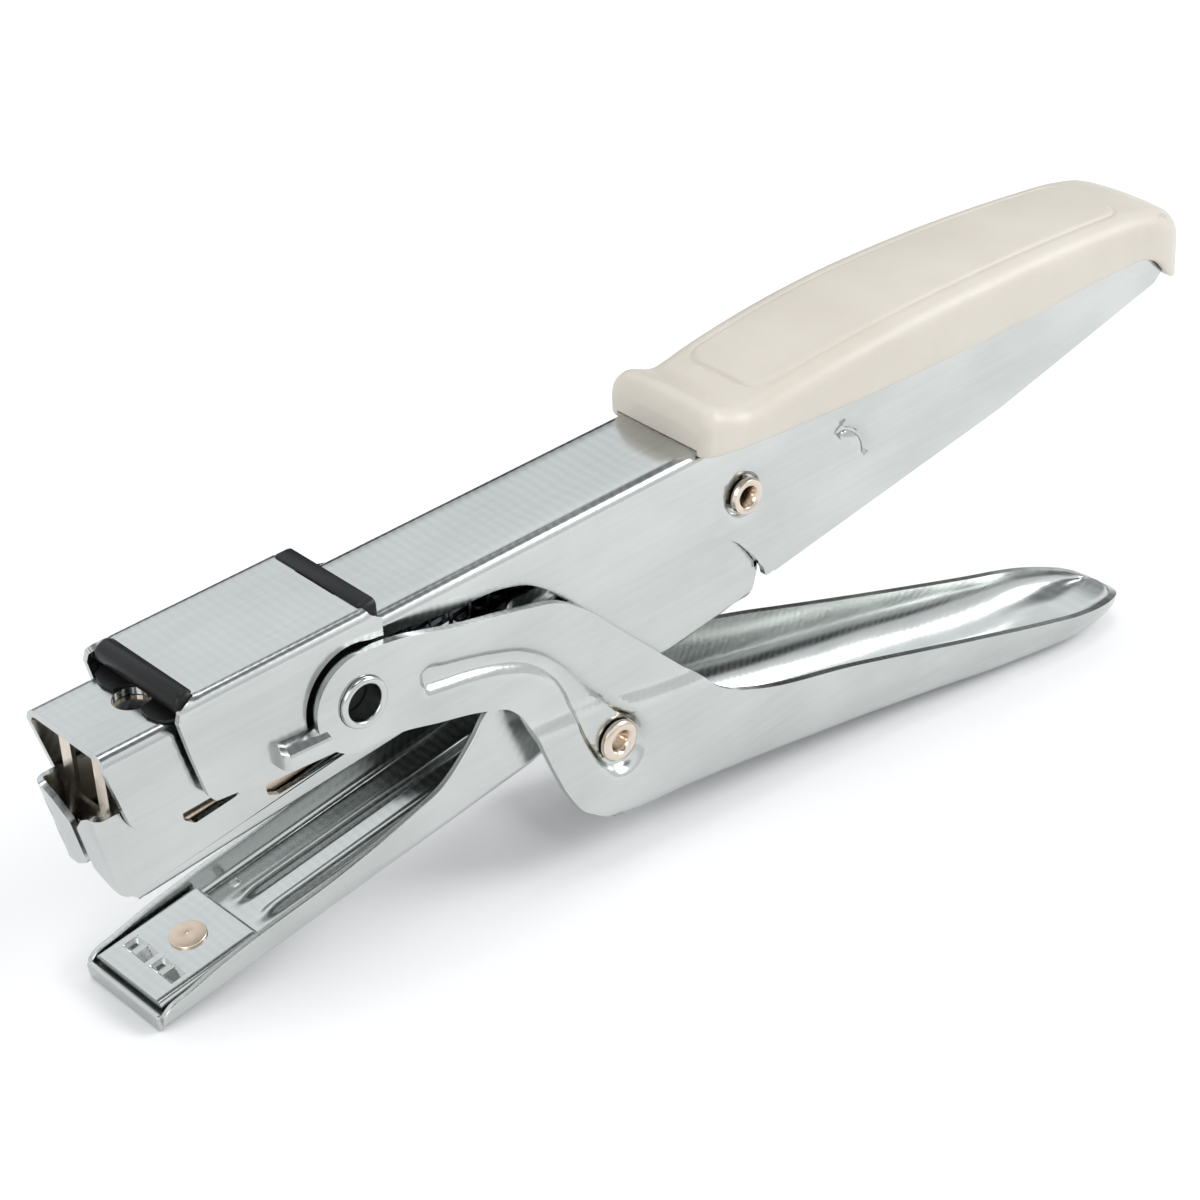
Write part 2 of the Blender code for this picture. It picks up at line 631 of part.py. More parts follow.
def hollow_rivet(name, side):
    """Short tube rivet through a lever arm and the hood's wall, flared over at both ends."""
    bm = bmesh.new()
    bore, flange, thick = 1.95, 3.1, 0.3
    inner, outer = HOOD_HALF - THIN_SHEET - GAP, LEVER_HALF + GAP
    profile = [(inner - thick, bore), (inner - thick, flange), (inner, flange), (inner, TUBE_RADIUS),
               (outer, TUBE_RADIUS), (outer, flange), (outer + 0.9, flange - 0.5), (outer + 0.9, bore)]
    turned(bm, [(side * y, radius) for y, radius in profile], HOOD_PIVOT)
    item = add_object(name, bm, "nickel", HOOD_PIVOT)
    smooth(item)
    return item


# ---- Lever --------------------------------------------------------------------------------------

ARM_END = 6.0                   # radius of the arms' round front end
LEVER_TOP = ([(x, z) for x, z in reversed(arc(HOOD_PIVOT, ARM_END, 92, 180, 6))]
             + [(33.0, -1.0), (42.3, -3.7), (51.1, -5.8), (56.3, -7.8), (58.3, -9.3), (63.5, -14.6),
                (69.0, -20.4), (74.0, -25.4), (76.7, -28.3), (79.0, -30.2), (82.2, -31.8), (99.5, -37.4),
                (121.0, -44.6), (138.6, -50.2), (147.0, -52.6), (151.5, -54.0), (153.0, -54.6)])
LEVER_BOTTOM = ([(x, z) for x, z in arc(HOOD_PIVOT, ARM_END, 180, 262, 6)]
                + [(32.5, -12.5), (43.9, -15.4), (47.3, -16.8), (49.5, -19.6), (50.9, -23.2),
                   (54.3, -31.6), (56.0, -34.5), (58.8, -36.8), (61.8, -38.0), (65.0, -39.4),
                   (73.6, -41.4), (85.8, -44.6), (114.8, -51.0), (139.4, -55.7), (147.0, -56.1),
                   (151.5, -55.6), (153.0, -55.3)])
LEVER_OUTER = [(22.9, LEVER_HALF), (50.0, LEVER_HALF), (56.0, LEVER_HALF + 0.4), (66.0, LEVER_HALF + 0.8),
               (76.0, LEVER_HALF + 0.2), (100.0, 8.6), (121.0, 8.1), (140.0, 7.6), (147.0, 6.6),
               (151.5, 4.4), (153.0, 2.4)]
WEB_START = 64.0


def lever():
    """Lower handle: two arms, a cranked body and a trough-shaped tail with a rounded end."""
    stations = all_x(LEVER_TOP, LEVER_BOTTOM, LEVER_OUTER, [(WEB_START, 0)])
    bend = [(58.0, 0.0), (62.0, 0.4), (68.0, 2.6), (80.0, 5.0), (100.0, 5.6), (121.0, 5.2), (140.0, 4.8),
            (153.0, 1.6)]
    columns = []
    for x in stations:
        half = at(LEVER_OUTER, x) - LEVER_SHEET / 2
        top, bottom = at(LEVER_TOP, x), at(LEVER_BOTTOM, x)
        bottom = min(bottom, top - 0.5)
        across = min(at(bend, x), 0.8 * half)
        rise = min(across * 1.1 + 0.6, 0.85 * (top - bottom))
        wall = [(half, top), (half, top - (top - bottom - rise) * 0.5), (half, bottom + rise)]
        for s in range(1, 5):
            angle = math.pi / 2 * s / 4
            wall.append((half - across * (1 - math.cos(angle)), bottom + rise * (1 - math.sin(angle))))
        columns.append([(x, -y, z) for y, z in wall] + [(x, y, z) for y, z in reversed(wall)])
    has_floor = [x >= WEB_START for x in stations]
    item = folded_sheet("lever", columns, LEVER_SHEET, "nickel", LEVER_PIVOT, has_floor)
    hole(item, HOOD_PIVOT, TUBE_RADIUS + GAP + 0.25)
    seat_radius, bore = 4.6, FULCRUM_RADIUS + GAP
    hole(item, LEVER_PIVOT, seat_radius)
    for side in (-1, 1):
        inner, face, lip = (side * y for y in (FULCRUM_SEAT - LEVER_SHEET, FULCRUM_SEAT, FULCRUM_SEAT + 0.7))
        dish = [(inner, bore), (inner, seat_radius + 0.6), (lip, seat_radius + 0.6), (lip, seat_radius),
                (face, seat_radius), (face, bore)]
        cutter(item, lambda b, dish=dish: turned(b, dish, LEVER_PIVOT), "UNION")
    return item


clear_scene()
materials = {name: make_material(name) for name in COLOURS}
stance = bpy.data.objects.new("stance", None)
bpy.context.collection.objects.link(stance)
lean = math.atan2(STAND_FRONT[1] - STAND_REAR[1], STAND_REAR[0] - STAND_FRONT[0])
turn = Matrix.Rotation(-lean, 4, "Y")
foot = turn @ Vector((STAND_FRONT[0] * MM, 0, STAND_FRONT[1] * MM))
middle = turn @ Vector((MIDDLE_X * MM, 0, 0))
stance.matrix_world = Matrix.Translation((-middle.x, 0, -foot.z)) @ turn

upper_channel()
grip_cover()
driver_blade()
rear_rivet()
rear_spacer()
anvil_arm()
anvil_plate()
anvil_rivet()
fulcrum_rivet()
fulcrum_washer("fulcrum_washer_left", -1)
fulcrum_washer("fulcrum_washer_right", 1)
return_spring()
magazine_channel()
staple_core()
staple_strip()
pusher()
guide_rod()
rod_anchor()
pusher_spring()
hood_cover()
hood_liner()
hollow_rivet("hollow_rivet_left", -1)
hollow_rivet("hollow_rivet_right", 1)
lever()
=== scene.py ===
import json
import math

import bmesh
import bpy
import numpy as np
from mathutils import Matrix, Vector
from mathutils.geometry import delaunay_2d_cdt
from mathutils.kdtree import KDTree


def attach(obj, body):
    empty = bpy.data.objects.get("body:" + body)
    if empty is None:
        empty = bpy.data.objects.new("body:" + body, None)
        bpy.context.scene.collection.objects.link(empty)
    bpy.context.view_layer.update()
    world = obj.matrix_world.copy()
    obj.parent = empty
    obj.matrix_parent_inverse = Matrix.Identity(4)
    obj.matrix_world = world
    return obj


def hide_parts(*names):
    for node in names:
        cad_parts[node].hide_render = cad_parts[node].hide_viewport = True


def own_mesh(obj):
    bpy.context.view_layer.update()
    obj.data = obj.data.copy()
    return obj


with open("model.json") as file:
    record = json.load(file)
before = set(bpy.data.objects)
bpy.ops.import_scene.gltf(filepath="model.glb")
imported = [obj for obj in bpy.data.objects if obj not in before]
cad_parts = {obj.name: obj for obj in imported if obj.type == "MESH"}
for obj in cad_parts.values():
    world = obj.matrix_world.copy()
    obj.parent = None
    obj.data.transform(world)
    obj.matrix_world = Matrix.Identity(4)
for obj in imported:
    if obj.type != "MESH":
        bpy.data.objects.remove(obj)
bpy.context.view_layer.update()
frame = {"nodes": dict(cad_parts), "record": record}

mm = 0.001      # drawing units are millimetres in the tool's own plane, x to the rear and z up

# the tool leans so that it stands on the anvil arm's nose and the lever's tail
standValues = {"frontFoot": (1.66, -35.135), "rearFoot": (139.35, -56.15), "middle": 80.72}
hoodPivot = (28.9, -6.4)
leverPivot = (62.1, -28.4)
rearPivot = (84.7, -8.1)

lean = math.atan2(standValues["frontFoot"][1] - standValues["rearFoot"][1],
                  standValues["rearFoot"][0] - standValues["frontFoot"][0])
leanTurn = Matrix.Rotation(-lean, 4, "Y")
footDrop = (leanTurn @ Vector((standValues["frontFoot"][0], 0, standValues["frontFoot"][1]))).z
middleShift = (leanTurn @ Vector((standValues["middle"], 0, 0))).x
stance = Matrix.Scale(mm, 4) @ Matrix.Translation((-middleShift, 0, -footDrop)) @ leanTurn


# lines and outlines

def smoothLine(points, step):       # curve through the points, about one point each step
    points = [np.array(p, float) for p in points]
    gaps = [np.linalg.norm(b - a) for a, b in zip(points, points[1:])]
    slopes = [(b - a) / g for a, b, g in zip(points, points[1:], gaps)]
    tangents = [slopes[0]]
    for i in range(1, len(points) - 1):
        tangents.append((slopes[i - 1] * gaps[i] + slopes[i] * gaps[i - 1]) / (gaps[i] + gaps[i - 1]))
    tangents.append(slopes[-1])
    line = []
    for i, gap in enumerate(gaps):
        cuts = max(1, round(gap / step))
        for c in range(cuts):
            t = c / cuts
            atStart, atEnd = 2 * t ** 3 - 3 * t ** 2 + 1, 3 * t ** 2 - 2 * t ** 3
            leaving, arriving = t ** 3 - 2 * t ** 2 + t, t ** 3 - t ** 2
            line.append(points[i] * atStart + tangents[i] * gap * leaving
                        + points[i + 1] * atEnd + tangents[i + 1] * gap * arriving)
    line.append(points[-1])
    return [tuple(p) for p in line]


def straightLine(points, step):
    line = []
    for a, b in zip(points, points[1:]):
        cuts = max(1, round(math.dist(a, b) / step))
        line += [tuple(a[k] + (b[k] - a[k]) * c / cuts for k in range(2)) for c in range(cuts)]
    return line + [tuple(points[-1])]


def arcLine(centre, radius, start, end, step):
    cuts = max(2, round(abs(math.radians(end - start)) * radius / step))
    angles = [math.radians(start + (end - start) * i / cuts) for i in range(cuts + 1)]
    return [(centre[0] + radius * math.cos(a), centre[1] + radius * math.sin(a)) for a in angles]


def roundCorners(corners, step):    # closed polygon of (u, v, radius) corners
    line = []
    for i, (x, z, radius) in enumerate(corners):
        corner = np.array((x, z), float)
        if radius <= 0:
            line.append((x, z))
            continue
        before = np.array(corners[i - 1][:2], float) - corner
        after = np.array(corners[(i + 1) % len(corners)][:2], float) - corner
        lengthA, lengthB = np.linalg.norm(before), np.linalg.norm(after)
        before, after = before / lengthA, after / lengthB
        half = math.acos(max(-1, min(1, float(before @ after)))) / 2
        reach = min(radius / math.tan(half), 0.49 * lengthA, 0.49 * lengthB)
        cuts = max(3, round(reach * 1.6 / step))
        for c in range(cuts + 1):
            t = c / cuts
            line.append(tuple((corner + before * reach) * (1 - t) ** 2 + 2 * corner * t * (1 - t)
                              + (corner + after * reach) * t ** 2))
    return line


def closedRun(line, step):          # fills the long straight runs of a closed outline
    filled = []
    for i, a in enumerate(line):
        b = line[(i + 1) % len(line)]
        cuts = max(1, round(math.dist(a, b) / step))
        filled += [tuple(a[k] + (b[k] - a[k]) * c / cuts for k in range(2)) for c in range(cuts)]
    return filled


def joinLines(*lines):
    joined = []
    for line in lines:
        for p in line:
            if not joined or math.dist(p, joined[-1]) > 0.02:
                joined.append(p)
    if math.dist(joined[0], joined[-1]) < 0.02:
        joined.pop()
    return joined


def profileOf(points, step=0.4):    # smooth function of x through the points
    line = np.array(smoothLine(points, step))
    return lambda x: np.interp(x, line[:, 0], line[:, 1])


def stepUp(value):
    value = np.clip(value, 0, 1)
    return value * value * (3 - 2 * value)


def insideLoop(points, loop):
    x, z = points[:, 0], points[:, 1]
    inside = np.zeros(len(points), bool)
    for (ax, az), (bx, bz) in zip(loop, loop[1:] + loop[:1]):
        if az == bz:
            continue
        crosses = (az > z) != (bz > z)
        inside ^= crosses & (x < (bx - ax) * (z - az) / (bz - az) + ax)
    return inside


def distanceTo(points, line, closed=True):
    best = np.full(len(points), 1e9)
    for a, b in zip(line, line[1:] + line[:1] if closed else line[1:]):
        a, b = np.array(a), np.array(b)
        along = b - a
        share = np.clip(((points - a) @ along) / max(along @ along, 1e-12), 0, 1)
        best = np.minimum(best, np.linalg.norm(points - (a + share[:, None] * along), axis=1))
    return best


def depthInside(points, loop):      # distance inside a closed loop, negative outside
    return np.where(insideLoop(points, loop), 1, -1) * distanceTo(points, loop)


def insetLoop(loop, distance):
    area = sum(a[0] * b[1] - b[0] * a[1] for a, b in zip(loop, loop[1:] + loop[:1]))
    sign = 1 if area > 0 else -1
    moved = []
    for i, p in enumerate(loop):
        a, b = loop[i - 1], loop[(i + 1) % len(loop)]
        dx, dz = b[0] - a[0], b[1] - a[1]
        length = math.hypot(dx, dz) or 1
        moved.append((p[0] - sign * dz / length * distance, p[1] + sign * dx / length * distance))
    return moved


def slopeLoops(loop, width, cuts):  # crease loops from a pressed shape's rim down its slope
    loops = [insetLoop(loop, width * i / cuts) for i in range(cuts + 1)]
    return [line + line[:1] for line in loops]


def triangleHeight(corners):        # least height of a triangle
    a, b, c = corners
    area = abs((b[0] - a[0]) * (c[1] - a[1]) - (c[0] - a[0]) * (b[1] - a[1]))
    return area / max(math.dist(a, b), math.dist(b, c), math.dist(c, a))


# meshes

sliverHeight = 0.01     # thinner triangles of a flat pattern are dropped
weldGap = 1e-4          # points nearer than this are one


def addPiece(name, bm, finish, body, replaced, smoothAngle):
    bmesh.ops.transform(bm, matrix=stance, verts=bm.verts)
    mesh = bpy.data.meshes.new(name)
    bm.to_mesh(mesh)
    bm.free()
    mesh.materials.append(finishes[finish])
    mesh.shade_smooth()
    mesh.set_sharp_from_angle(angle=math.radians(smoothAngle))
    piece = bpy.data.objects.new(name, mesh)
    bpy.context.scene.collection.objects.link(piece)
    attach(piece, body)
    if replaced:
        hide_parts(*replaced)
    return piece


def skinRings(bm, rings):           # walls from ring to ring, closed at both ends
    for ring, following in zip(rings, rings[1:]):
        for k in range(len(ring)):
            m = (k + 1) % len(ring)
            bm.faces.new((ring[k], ring[m], following[m], following[k]))
    bm.faces.new(rings[0][::-1])
    bm.faces.new(rings[-1])


def addBevel(piece, width, segments=2, angle=65):
    bevel = piece.modifiers.new("edge", "BEVEL")
    bevel.width = width * mm
    bevel.segments = segments
    bevel.limit_method = "ANGLE"
    bevel.angle_limit = math.radians(angle)
    bevel.harden_normals = True
    bevel.use_clamp_overlap = True


def pressedSheet(name, finish, body, replaced, outline, place, values, holes=(), creases=()):
    # outline, holes and creases lie in one half's flat pattern, and the other half mirrors it
    # place bends the pattern into the sheet's middle surface
    loops = [list(outline)] + [list(h) for h in holes]
    tree = KDTree(sum(len(line) for line in loops + list(creases)))
    coords, edges = [], []
    for line, closed in [(loop, True) for loop in loops] + [(crease, False) for crease in creases]:
        start = len(coords)
        for p in line:
            tree.insert((p[0], p[1], 0), len(coords))
            coords.append(Vector(p))
        edges += [(start + i, start + i + 1) for i in range(len(line) - 1)]
        if closed:
            edges.append((start + len(line) - 1, start))
    tree.balance()
    low = [min(p[k] for p in outline) for k in (0, 1)]
    high = [max(p[k] for p in outline) for k in (0, 1)]
    columns = np.arange(low[0], high[0], values["spacing"])
    rows = values.get("rows")
    if rows is None:
        rows = np.arange(low[1], high[1], values["spacing"])
    grid = np.array([(u, v) for u in columns for v in rows])
    keep = insideLoop(grid, loops[0])
    for loop in loops[1:]:
        keep &= ~insideLoop(grid, loop)
    for u, v in grid[keep]:
        if tree.find((u, v, 0))[2] > values["clear"]:
            coords.append(Vector((u, v)))
    points, _, triangles, _, _, _ = delaunay_2d_cdt(coords, edges, [], 0, 1e-5)
    flat = np.array([(p.x, p.y) for p in points])
    triangles = [t for t in triangles if len(t) == 3 and triangleHeight(flat[list(t)]) > sliverHeight]
    middles = flat[np.array(triangles)].mean(axis=1)
    keep = insideLoop(middles, loops[0])
    for loop in loops[1:]:
        keep &= ~insideLoop(middles, loop)
    solid = place(flat[:, 0], flat[:, 1])
    bm = bmesh.new()
    verts = [bm.verts.new(p) for p in solid]
    twins = [v if abs(v.co.y) < weldGap else bm.verts.new((v.co.x, -v.co.y, v.co.z)) for v in verts]
    for t, kept in zip(triangles, keep):
        if kept:
            bm.faces.new([verts[i] for i in t])
            bm.faces.new([twins[i] for i in reversed(t)])
    bmesh.ops.delete(bm, geom=[v for v in bm.verts if not v.link_faces], context="VERTS")
    bmesh.ops.join_triangles(bm, faces=bm.faces, angle_face_threshold=math.radians(12),
                             angle_shape_threshold=math.radians(25))
    piece = addPiece(name, bm, finish, body, replaced, 60)
    thick = piece.modifiers.new("sheet", "SOLIDIFY")
    thick.thickness = values["sheet"] * mm
    thick.offset = 0
    thick.use_even_offset = False
    addBevel(piece, values["edge"])
    print(f"{name}: {len(piece.data.polygons)} faces in the middle surface")
    return piece


def bentSection(half, level, bend, upwards):
    # flat floor, round bend and wall; v is the length from the middle of the floor
    turn = bend * math.pi / 2

    def place(u, v, press=None, floorPress=None):
        flat = half(u) - bend
        angle = np.clip((v - flat) / bend, 0, math.pi / 2)
        y = np.where(v < flat, v, flat + bend * np.sin(angle))
        rise = bend * (1 - np.cos(angle)) + np.maximum(v - flat - turn, 0)
        z = level(u) + upwards * rise
        if press is not None:
            y = y + press(u, z) * (angle >= math.pi / 2)
        if floorPress is not None:
            z = z + floorPress(u, y) * (v < flat)
        return np.stack([u, y, z], axis=1)

    def wallAt(x, z):               # pattern length of a height on the wall
        return float(half(x)) - bend + turn + abs(z - float(level(x))) - bend

    return place, wallAt


def turnedPiece(name, finish, body, replaced, profile, centre, segments, edge):
    bm = bmesh.new()
    rings = []
    for i in range(segments):
        angle = 2 * math.pi * i / segments
        rings.append([bm.verts.new((centre[0] + r * math.cos(angle), y, centre[1] + r * math.sin(angle)))
                      for y, r in profile])
    for ring, following in zip(rings, rings[1:] + rings[:1]):
        for k in range(len(profile)):
            m = (k + 1) % len(profile)
            bm.faces.new((ring[k], ring[m], following[m], following[k]))
    bmesh.ops.remove_doubles(bm, verts=bm.verts, dist=weldGap)
    bmesh.ops.dissolve_degenerate(bm, edges=bm.edges, dist=1e-5)
    bmesh.ops.recalc_face_normals(bm, faces=bm.faces)
    piece = addPiece(name, bm, finish, body, replaced, 35)
    addBevel(piece, edge, 3, 35)
    return piece


# finishes

bumpDistance = 0.0002


def addNode(tree, kind, settings=(), inputs=()):
    node = tree.nodes.new(kind)
    for key, value in dict(settings).items():
        setattr(node, key, value)
    for key, value in dict(inputs).items():
        if isinstance(value, bpy.types.NodeSocket):
            tree.links.new(value, node.inputs[key])
        else:
            node.inputs[key].default_value = value
    return node


def addRamp(tree, factor, stops):
    node = addNode(tree, "ShaderNodeValToRGB", inputs={"Fac": factor})
    ramp = node.color_ramp
    while len(ramp.elements) < len(stops):
        ramp.elements.new(0.5)
    for element, (position, colour) in zip(ramp.elements, stops):
        element.position = position
        element.color = (*colour, 1) if len(colour) == 3 else colour
    return node.outputs["Color"]


def placedPattern(tree, scale, shift=(0, 0, 0)):
    # object coordinates turned into the tool's own plane, then stretched
    texture = addNode(tree, "ShaderNodeTexCoord")
    turned = addNode(tree, "ShaderNodeMapping", {"vector_type": "POINT"},
                     {"Vector": texture.outputs["Object"], "Rotation": (0, lean, 0)})
    return addNode(tree, "ShaderNodeMapping", {"vector_type": "POINT"},
                   {"Vector": turned.outputs["Vector"], "Location": shift, "Scale": scale}).outputs["Vector"]


def metalFinish(name, values):
    material = bpy.data.materials.new(name)
    material.use_nodes = True
    tree = material.node_tree
    shader = tree.nodes["Principled BSDF"]
    shader.inputs["Metallic"].default_value = 1
    along, across = values["streakAlong"], values["streakAcross"]
    streaks = addNode(tree, "ShaderNodeTexNoise", inputs={
        "Vector": placedPattern(tree, (along, across, across)), "Scale": 1, "Detail": 4, "Roughness": 0.6})
    clouds = addNode(tree, "ShaderNodeTexNoise", inputs={
        "Vector": placedPattern(tree, values["clouds"], values["cloudShift"]),
        "Scale": 1, "Detail": 3, "Roughness": 0.5})
    rings = addNode(tree, "ShaderNodeTexWave", {"wave_type": "RINGS", "rings_direction": "Y"}, {
        "Vector": placedPattern(tree, (values["rings"],) * 3, values["ringCentre"]),
        "Scale": 0.35, "Distortion": 3, "Detail": 2, "Detail Scale": 0.6})
    mixed = addNode(tree, "ShaderNodeMath", {"operation": "MULTIPLY_ADD"}, {
        0: streaks.outputs["Fac"], 1: values["streakShare"], 2: clouds.outputs["Fac"]})
    colour = addRamp(tree, mixed.outputs[0], [(0.35, values["dark"]), (0.95, values["light"])])
    tree.links.new(colour, shader.inputs["Base Color"])
    ringTone = addNode(tree, "ShaderNodeMath", {"operation": "MULTIPLY_ADD"}, {
        0: rings.outputs["Fac"], 1: values["ringShare"], 2: mixed.outputs[0]})
    rough = addNode(tree, "ShaderNodeMapRange", inputs={
        "Value": ringTone.outputs[0], "From Min": 0.3, "From Max": 1.2,
        "To Min": values["rough"][0], "To Max": values["rough"][1]})
    tree.links.new(rough.outputs["Result"], shader.inputs["Roughness"])
    grain = addNode(tree, "ShaderNodeBump", inputs={
        "Strength": values["bump"], "Distance": bumpDistance, "Height": ringTone.outputs[0]})
    tree.links.new(grain.outputs["Normal"], shader.inputs["Normal"])
    return material


def plasticFinish(name, values):
    material = bpy.data.materials.new(name)
    material.use_nodes = True
    tree = material.node_tree
    shader = tree.nodes["Principled BSDF"]
    clouds = addNode(tree, "ShaderNodeTexNoise", inputs={
        "Vector": placedPattern(tree, (values["clouds"],) * 3), "Scale": 1, "Detail": 4, "Roughness": 0.55})
    grain = addNode(tree, "ShaderNodeTexNoise", inputs={
        "Vector": placedPattern(tree, (values["grain"],) * 3), "Scale": 1, "Detail": 2, "Roughness": 0.5})
    colour = addRamp(tree, clouds.outputs["Fac"], [(0.3, values["dark"]), (0.7, values["light"])])
    tree.links.new(colour, shader.inputs["Base Color"])
    rough = addNode(tree, "ShaderNodeMapRange", inputs={
        "Value": grain.outputs["Fac"], "From Min": 0.3, "From Max": 0.7,
        "To Min": values["rough"][0], "To Max": values["rough"][1]})
    tree.links.new(rough.outputs["Result"], shader.inputs["Roughness"])
    bump = addNode(tree, "ShaderNodeBump", inputs={
        "Strength": values["bump"], "Distance": bumpDistance, "Height": grain.outputs["Fac"]})
    tree.links.new(bump.outputs["Normal"], shader.inputs["Normal"])
    shader.inputs["Specular IOR Level"].default_value = values["shine"]
    return material


nickelValues = {"dark": (0.44, 0.46, 0.45), "light": (0.55, 0.57, 0.555), "rough": (0.10, 0.24),
                "streakAlong": 45, "streakAcross": 1500, "streakShare": 0.5, "clouds": (70, 110, 110),
                "cloudShift": (0.3, 0.1, 0.7), "rings": 900, "ringShare": 0.25, "ringCentre": (-60, 0, 20),
                "bump": 0.04}
innerNickelValues = {**nickelValues, "dark": (0.40, 0.41, 0.41), "rough": (0.14, 0.28)}
warmNickelValues = {**nickelValues, "dark": (0.52, 0.44, 0.36), "light": (0.74, 0.66, 0.57),
                    "rough": (0.14, 0.26)}
copperValues = {**nickelValues, "dark": (0.52, 0.42, 0.33), "light": (0.72, 0.60, 0.48),
                "rough": (0.22, 0.38), "streakAlong": 400, "streakAcross": 400}
wireValues = {**nickelValues, "dark": (0.30, 0.31, 0.32), "light": (0.52, 0.53, 0.55),
              "rough": (0.2, 0.36), "streakAlong": 600, "streakAcross": 600}
blueSteelValues = {**wireValues, "dark": (0.05, 0.055, 0.065), "light": (0.12, 0.13, 0.15)}
creamValues = {"dark": (0.520, 0.480, 0.415), "light": (0.580, 0.540, 0.475), "rough": (0.34, 0.46),
               "clouds": 60, "grain": 1800, "bump": 0.05, "shine": 0.5}
blackValues = {"dark": (0.006, 0.006, 0.006), "light": (0.012, 0.012, 0.013), "rough": (0.30, 0.42),
               "clouds": 60, "grain": 2500, "bump": 0.06, "shine": 0.25}

finishes = {
    "brightNickel": metalFinish("brightNickel", nickelValues),
    "innerNickel": metalFinish("innerNickel", innerNickelValues),
    "warmNickel": metalFinish("warmNickel", warmNickelValues),
    "copperTone": metalFinish("copperTone", copperValues),
    "drawnWire": metalFinish("drawnWire", wireValues),
    "blueSteel": metalFinish("blueSteel", blueSteelValues),
    "creamPlastic": plasticFinish("creamPlastic", creamValues),
    "blackPlastic": plasticFinish("blackPlastic", blackValues),
}
print("finishes ready")


# upper channel: folded sheet with the nose, the rear rivet's dimple and a small turning arrow

channelValues = {"half": 6.3, "level": -0.4, "bend": 1.0, "sheet": 0.8, "edge": 0.22, "spacing": 1.1,
                 "rear": 155.2, "clear": 0.34, "noseHole": (8.0, 2.0), "rivetHole": 1.9,
                 "dimple": (2.95, 0.5), "dimpleSlope": 0.55}
arrowValues = {"centre": (99.2, -10.9), "radius": 4.5, "width": 0.55, "angles": (-2, 72), "headAngle": 26,
               "depth": 0.32, "slope": 0.2, "zone": (90, 108, -4)}
channelRim = [(76.0, -11.0), (78.6, -11.3), (80.8, -12.0), (83.6, -14.0), (85.8, -16.6)]
channelRimRear = [(88.9, -20.1), (126.3, -14.8), (153.8, -8.9), (155.2, -7.6)]


def curvedArrow():                  # bent shaft and head, in the side's own plane
    centre, radius, width = (arrowValues[k] for k in ("centre", "radius", "width"))
    start, end = arrowValues["angles"]
    outer = arcLine(centre, radius + width, start, end, 0.25)
    inner = arcLine(centre, radius - width, end, start, 0.25)
    head = []
    for reach, angle in ((radius + 3 * width, end), (radius, end + arrowValues["headAngle"]),
                         (radius - 3 * width, end)):
        turned = math.radians(angle)
        head.append((centre[0] + reach * math.cos(turned), centre[1] + reach * math.sin(turned)))
    return closedRun(outer + head + inner, 0.3)


